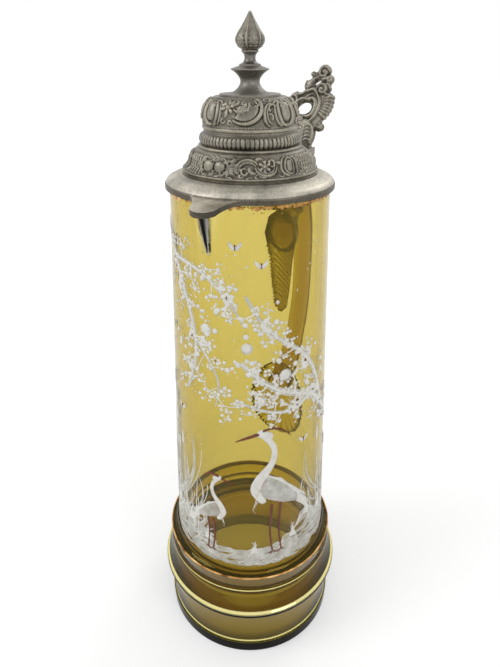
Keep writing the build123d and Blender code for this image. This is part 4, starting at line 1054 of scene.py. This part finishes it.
class Brush(Relief):
    """Draws on one layer in wall millimetres, x from the camera's side and z up."""

    def __init__(self):
        super().__init__(EW, EH, 0.25, wrap=False)

    def line(self, points, radius, height, n=50):
        p = np.array(points) - (EX0, EZ0)
        self.stroke(spline(p, n) if len(p) > 2 else p, radius, height)

    def dot(self, x, z, radius, height):
        self.dab(x - EX0, z - EZ0, radius, height)

    def curve(self, x, z, heading, length, bend, radius, height):
        """A tapering stroke from a point; returns its path."""
        p = bend_path(x, z, heading, length, bend, n=40, from_start=True)
        self.stroke(p - (EX0, EZ0), radius, height)
        return p


draw = random.Random(21)
white, wash, rust, rose = (Brush() for _ in range(4))


def blossom(x, z, size, petals=5):
    turn, squash = draw.uniform(0, 2), draw.uniform(0.7, 1.0)
    for k in range(petals):
        at = polar(x, z, size, turn + 2 * pi * k / petals, size * squash)
        white.dot(*at, size * draw.uniform(0.44, 0.58), 0.55)
    if draw.random() < 0.35:
        rust.dot(x, z, size * 0.28, 0.8)
    else:
        white.dot(x, z, size * 0.3, 0.75)


def spray(path, spread, count, size):
    """Small dots scattered along a twig, thicker towards its end."""
    for _ in range(count):
        k = int(len(path) * draw.uniform(0.25, 1.0) ** 0.7) - 1
        x, z = path[max(k, 0)]
        r = size * draw.uniform(0.5, 1.25)
        white.dot(x + draw.gauss(0, spread), z + draw.gauss(0, spread), r, 0.3 + 0.25 * r)


def branch(points, width, twigs, blooms):
    white.line(points, [width, width * 0.8, width * 0.55, width * 0.3], 0.28, 90)
    path = spline(points, 90)
    last = len(path) - 1
    wash.stroke(path - (EX0, EZ0), [width * 2.0, width * 1.5, width], 0.2)
    for k in range(twigs):
        i = int(len(path) * (0.12 + 0.85 * (k + draw.uniform(0, 0.8)) / twigs))
        x, z = path[min(i, last - 1)]
        d = path[min(i + 1, last)] - path[max(i - 1, 0)]
        head = math.degrees(atan2(d[1], d[0]))
        side = (-1) ** k
        length = draw.uniform(9, 19)
        p = white.curve(x, z, head + side * draw.uniform(28, 66), length, -side * draw.uniform(10, 45),
                        [width * 0.5, 0.36, 0.2], 0.26)
        spray(p, 2.0, draw.randint(7, 13), 0.95)
        if k % 2 == 0:
            white.curve(*p[-6], head - side * 20, length * 0.5, side * 30, [0.32, 0.16], 0.22)
    for k in range(blooms):
        i = int(len(path) * (0.15 + 0.8 * (k + draw.uniform(0.1, 0.9)) / blooms))
        x, z = path[min(i, last)]
        blossom(x + draw.uniform(-5, 5), z + draw.uniform(-4.5, 4.5), draw.uniform(1.7, 2.6))


def heron(x, z, s, face):
    """A wading bird of s mm from foot to crown; face is +1 for a bird that looks right."""
    def paint(brush, points, radius, height):
        brush.line([(x + face * u * s * 0.78, z + v * s) for u, v in points], radius, height)
    # body, wing and tail
    for k in range(8):
        t = k / 7
        paint(wash, [(-0.24 + 0.10 * t, 0.36 + 0.05 * t), (-0.04 + 0.03 * t, 0.44 + 0.10 * t),
                     (0.15 - 0.03 * t, 0.50 + 0.13 * t)], [s * 0.018, s * 0.04, s * 0.022], 0.3)
    for k in range(11):
        t = k / 10
        paint(white, [(0.12 - 0.14 * t, 0.64 - 0.05 * t), (-0.05 - 0.05 * t, 0.55 - 0.06 * t),
                      (-0.22 - 0.03 * sin(3 * t), 0.40 - 0.05 * t)], [0.4, 0.36, 0.16], 0.26)
    for k in range(6):
        paint(white, [(-0.16, 0.42 - 0.012 * k), (-0.25, 0.34 - 0.02 * k), (-0.31 + 0.03 * k, 0.25 - 0.012 * k)],
              [0.5, 0.5, 0.2], 0.3)
    # breast and neck
    paint(white, [(0.12, 0.44), (0.17, 0.52), (0.13, 0.62), (0.05, 0.72), (0.04, 0.82), (0.10, 0.90)],
          [s * k for k in (0.02, 0.032, 0.03, 0.02, 0.017, 0.02)], 0.45)
    for k in range(4):
        paint(rose, [(0.10 + 0.02 * k, 0.60 - 0.035 * k), (0.13 + 0.015 * k, 0.54 - 0.03 * k)], [0.42, 0.2], 0.62)
    for k in range(3):
        paint(white, [(0.15, 0.50 - 0.03 * k), (0.17 + 0.01 * k, 0.44 - 0.03 * k), (0.14, 0.38 - 0.03 * k)],
              [0.3, 0.16], 0.25)
    # head, crest, beak, eye
    paint(white, [(0.08, 0.905), (0.13, 0.925)], s * 0.028, 0.6)
    paint(rust, [(0.12, 0.945), (0.06, 0.955), (-0.03, 0.93), (-0.10, 0.87)], [0.7, 0.75, 0.5, 0.2], 0.75)
    paint(rust, [(0.155, 0.925), (0.24, 0.90), (0.33, 0.865)], [s * 0.011, s * 0.009, 0.16], 0.6)
    rust.dot(x + face * 0.125 * s * 0.78, z + 0.928 * s, 0.34, 1.05)
    # legs
    for lean in (-0.02, 0.05):
        paint(rust, [(lean, 0.40), (lean + 0.015, 0.22), (lean - 0.005, 0.02)], [0.9, 0.6, 0.55], 0.4)
        for toe in (-0.06, 0.02, 0.08):
            paint(rust, [(lean - 0.005, 0.02), (lean + toe, 0.0)], [0.5, 0.3], 0.35)


def reed(x, z, height, lean):
    p = white.curve(x, z, 90 + lean, height, -lean * 0.6, [0.45, 0.36, 0.26], 0.26)
    if height > 52:
        u, v = p[-1]
        white.line([(u, v - 7.5), (u - 0.2, v - 0.5)], [0.9, 1.15, 0.9], 0.6)
        white.line([(u, v - 0.4), (u - 0.1, v + 3.2)], [0.3, 0.15], 0.25)
    for k in range(3):
        side = (-1) ** k
        for brush, short, long, radius in ((wash, 0.45, 0.75, [0.5, 1.0, 0.7, 0.2]),
                                           (white, 0.5, 0.8, [0.3, 0.3, 0.14])):
            brush.curve(*p[3 + 4 * k], 90 + side * draw.uniform(8, 20), height * draw.uniform(short, long),
                        -side * draw.uniform(25, 60), radius, 0.22)


def tuft(x, z, size, blades=11):
    for k in range(blades):
        a = 90 + (k - (blades - 1) / 2) * 9 + draw.uniform(-4, 4)
        white.curve(x + (k - blades / 2) * 0.35, z, a, size * draw.uniform(0.6, 1.0), (90 - a) * -1.3,
                    [0.32, 0.28, 0.12], 0.24)


# the bank: dry, overlapping strokes of thin white round the bottom
for k in range(420):
    x = draw.uniform(-70, 62)
    rise = 17.0 * exp(-((x + 44) / 15) ** 2) + 21.0 * exp(-((x - 43) / 14) ** 2) + 2.5 * sin(x / 8.5)
    z = 78.6 + draw.uniform(0, 1) ** 1.25 * (12.5 + max(rise, 0))
    wash.line([(x, z), (x + 3.5, z + draw.uniform(-0.8, 1.2)), (x + 8.5, z + draw.uniform(-1.0, 1.4))],
              [0.3, draw.uniform(0.8, 2.0), 0.25], 0.24, 14)
for x, z, w in ((-47, 100, 14), (-28, 88, 13), (37, 103, 13), (50, 96, 12), (6, 82, 15), (24, 90, 11), (-58, 90, 10)):
    for k in range(6):
        white.line([(x - w + 1.6 * k, z - 5 + 1.3 * k), (x - w * 0.3, z + 1.5 + 1.5 * k),
                    (x + w * 0.5, z + 0.5 + 1.2 * k), (x + w - 1.5 * k, z - 5 + 1.0 * k)],
                   [0.14, 0.4, 0.34, 0.14], 0.24)
for k in range(34):
    white.dot(-6 + 0.9 * k + draw.uniform(-0.4, 0.4), 80.4 + 1.2 * sin(k * 0.9), draw.uniform(0.4, 0.8), 0.4)
for x, z, size in ((-56, 104, 22), (-40, 102, 17), (-26, 94, 16), (3, 89, 13), (27, 96, 17), (38, 108, 22),
                   (52, 102, 22), (61, 98, 18)):
    tuft(x, z, size)
for k, tall in enumerate((84, 62, 108, 52, 92, 70, 44, 30)):
    reed(-62 + 3.9 * k + draw.uniform(-1, 1), 96 + draw.uniform(-3, 4), tall, draw.uniform(-7, 7))
for k, tall in enumerate((50, 72, 56, 38)):
    reed(50 + 4.2 * k, 96 + draw.uniform(-2, 3), tall, draw.uniform(-8, 6))
heron(17.0, 87.0, 102.0, -1)
heron(-25.0, 86.0, 66.0, 1)

# a blossoming bough from the right, another hanging on the left
for bough in (([(70, 166), (54, 184), (40, 198), (18, 208), (-4, 226)], 1.7, 10, 9),
              ([(52, 186), (45, 208), (32, 228), (12, 244), (-2, 264)], 1.1, 9, 9),
              ([(38, 199), (24, 194), (10, 196), (-8, 204)], 0.8, 7, 6),
              ([(-70, 294), (-54, 280), (-40, 258), (-33, 230), (-40, 204)], 1.3, 10, 10),
              ([(-52, 278), (-32, 276), (-16, 266), (-4, 250)], 0.8, 7, 6),
              ([(-36, 240), (-24, 226), (-18, 212), (-20, 198)], 0.6, 5, 5)):
    branch(*bough)
for x, z, r in ((-46, 264, 2.6), (-26, 244, 2.9), (20, 218, 3.1), (34, 220, 2.6), (-2, 236, 2.7), (46, 200, 2.6),
                (-37, 218, 2.4), (6, 203, 2.4)):
    white.dot(x, z, r, 0.75)
    wash.dot(x + 0.4, z - 0.4, r * 1.25, 0.3)
for x, z in ((-8, 290), (6, 281), (34, 170), (-48, 186)):
    for side in (-1, 1):
        white.curve(x, z, 90 - side * 50, 4.6, side * 60, [0.2, 1.1, 0.3], 0.35)
        white.curve(x, z, 90 - side * 115, 3.0, side * 50, [0.2, 0.8, 0.2], 0.35)
    rust.line([(x, z - 1.6), (x, z + 1.4)], [0.3, 0.42, 0.2], 0.6)
for cx, cz, count in ((-42, 272, 20), (-30, 238, 20), (-18, 262, 16), (8, 246, 20), (28, 226, 22), (36, 206, 22),
                      (-2, 222, 16), (-46, 232, 16), (52, 192, 12)):
    for k in range(count):
        white.dot(draw.gauss(cx, 6.0), draw.gauss(cz, 5.0), draw.choice((0.45, 0.6, 0.9, 1.3, 1.6)), 0.6)
for k in range(70):
    white.dot(draw.uniform(-66, 62), draw.uniform(190, 290), draw.uniform(0.3, 0.6), 0.4)

wall_sheet("enamel_wash", wash, EX0, EZ0, 0.05, 0.03, WASH)
wall_sheet("enamel_white", white, EX0, EZ0, 0.06, 0.10, ENAMEL)
wall_sheet("enamel_rust", rust, EX0, EZ0, 0.06, 0.16, RUST)
wall_sheet("enamel_rose", rose, EX0, EZ0, 0.06, 0.14, ROSE)


def gilding():
    """Worn gilt round the rim, bare at the pouring lip where the glass leaves the round, and a line on the foot."""
    draw = random.Random(5)
    high = 7.4
    g = Relief(2 * pi * RIM_R, high, 0.3)
    for k in range(300):
        x = draw.uniform(0, g.width)
        g.stroke([(x, high), (x + draw.uniform(-1, 1), draw.uniform(5.7, 6.9))], [1.3, draw.uniform(0.5, 1.0)], 0.12)
    for k in range(40):
        g.dab(draw.uniform(0, g.width), draw.uniform(3.4, 4.4), draw.uniform(0.3, 0.5), 0.1)
    away = (np.arange(g.nx) * g.step_x / RIM_R + CAM_AZ + pi) % (2 * pi) - pi
    g.h[:, np.abs(away) < radians(13.5)] = 0
    wall_sheet("gilt_rim", g, 0.0, RIM_Z - 7.9, 0.05, 0.035, GILT, mid_r=RIM_R)
    r0, z0 = UP_R - 0.95, UP_Z + UP_BAND - 0.66
    loop = [polar(r0, z0, r, radians(a))
            for r, turn in ((0.72, range(-30, 130, 16)), (0.60, range(114, -46, -16))) for a in turn]
    turned("gilt_foot_line", loop, 256, GILT, "vessel")


gilding()


# ---- camera, as fitted to the photograph ----
CAM_REACH, CAM_HIGH, CAM_DOWN, CAM_LENS = 0.285, 0.3728, radians(28.06), 533.0 / 667.0 * 36
scene = bpy.context.scene
scene.view_settings.view_transform = "Standard"


def placed(name, data):
    ob = bpy.data.objects.new(name, data)
    scene.collection.objects.link(ob)
    return ob


camera = bpy.data.cameras.new("camera")
camera.sensor_width, camera.sensor_fit, camera.lens = 36, "AUTO", CAM_LENS
camera.clip_start, camera.clip_end = 0.02, 50
scene.camera = placed("camera", camera)
scene.camera.location = (CAM_REACH * sin(CAM_AZ), -CAM_REACH * cos(CAM_AZ), CAM_HIGH)
scene.camera.rotation_euler = (pi / 2 - CAM_DOWN, 0, CAM_AZ)


# ---- floor, light and world ----
def seen(t):
    """1 for the rays that show the stage itself, 0 for those that only light the object."""
    rays = add(t, "LightPath").outputs
    direct = calc(t, "MAXIMUM", rays["Is Camera Ray"], rays["Is Glossy Ray"])
    return calc(t, "MAXIMUM", direct, rays["Is Transmission Ray"])


def stage_floor():
    """A pale floor that glows more with distance, as the photograph's backdrop does."""
    m, t, p = nodes_of("floor")
    feed(t, p, Base_Color=(0.8, 0.8, 0.8, 1), Roughness=0.9, Specular_IOR_Level=0.0)
    far = t.nodes.new("ShaderNodeVectorMath")
    far.operation = "LENGTH"
    fill(t, far.inputs[0], coords(t))
    glow = add(t, "MapRange", Value=far.outputs["Value"], From_Min=0.06, From_Max=1.0, To_Min=0.36, To_Max=0.56)
    light = add(t, "Emission", Strength=calc(t, "MULTIPLY", seen(t), glow.outputs["Result"]))
    both = add(t, "AddShader")
    fill(t, both.inputs[0], p.outputs[0])
    fill(t, both.inputs[1], light.outputs[0])
    feed(t, t.nodes["Material Output"], Surface=both.outputs[0])
    mesh = bpy.data.meshes.new("floor")
    mesh.from_pydata([(-8, -8, 0), (8, -8, 0), (8, 8, 0), (-8, 8, 0)], [], [(0, 1, 2, 3)])
    mesh.materials.append(m)
    ob = placed("floor", mesh)
    ob.location.z = -0.00005


def lamp(name, where, size, power):
    d = bpy.data.lights.new(name, "AREA")
    d.shape, d.size, d.energy = "SQUARE", size, power
    o = placed(name, d)
    o.location = where
    o.rotation_euler = (Vector((0, 0, 0.2)) - Vector(where)).to_track_quat("-Z", "Y").to_euler()


stage_floor()
world = bpy.data.worlds.new("world")
scene.world = world
world.use_nodes = True
t = world.node_tree
bright = add(t, "MapRange", Value=seen(t), To_Min=0.6, To_Max=1.0)
feed(t, t.nodes["Background"], Color=(1, 1, 1, 1), Strength=bright.outputs["Result"])
lamp("key", (-0.9, -0.9, 1.3), 0.7, 6.5)
lamp("fill", (1.2, -0.5, 1.0), 0.7, 3.2)
lamp("back", (0.3, 1.2, 1.2), 0.6, 3)
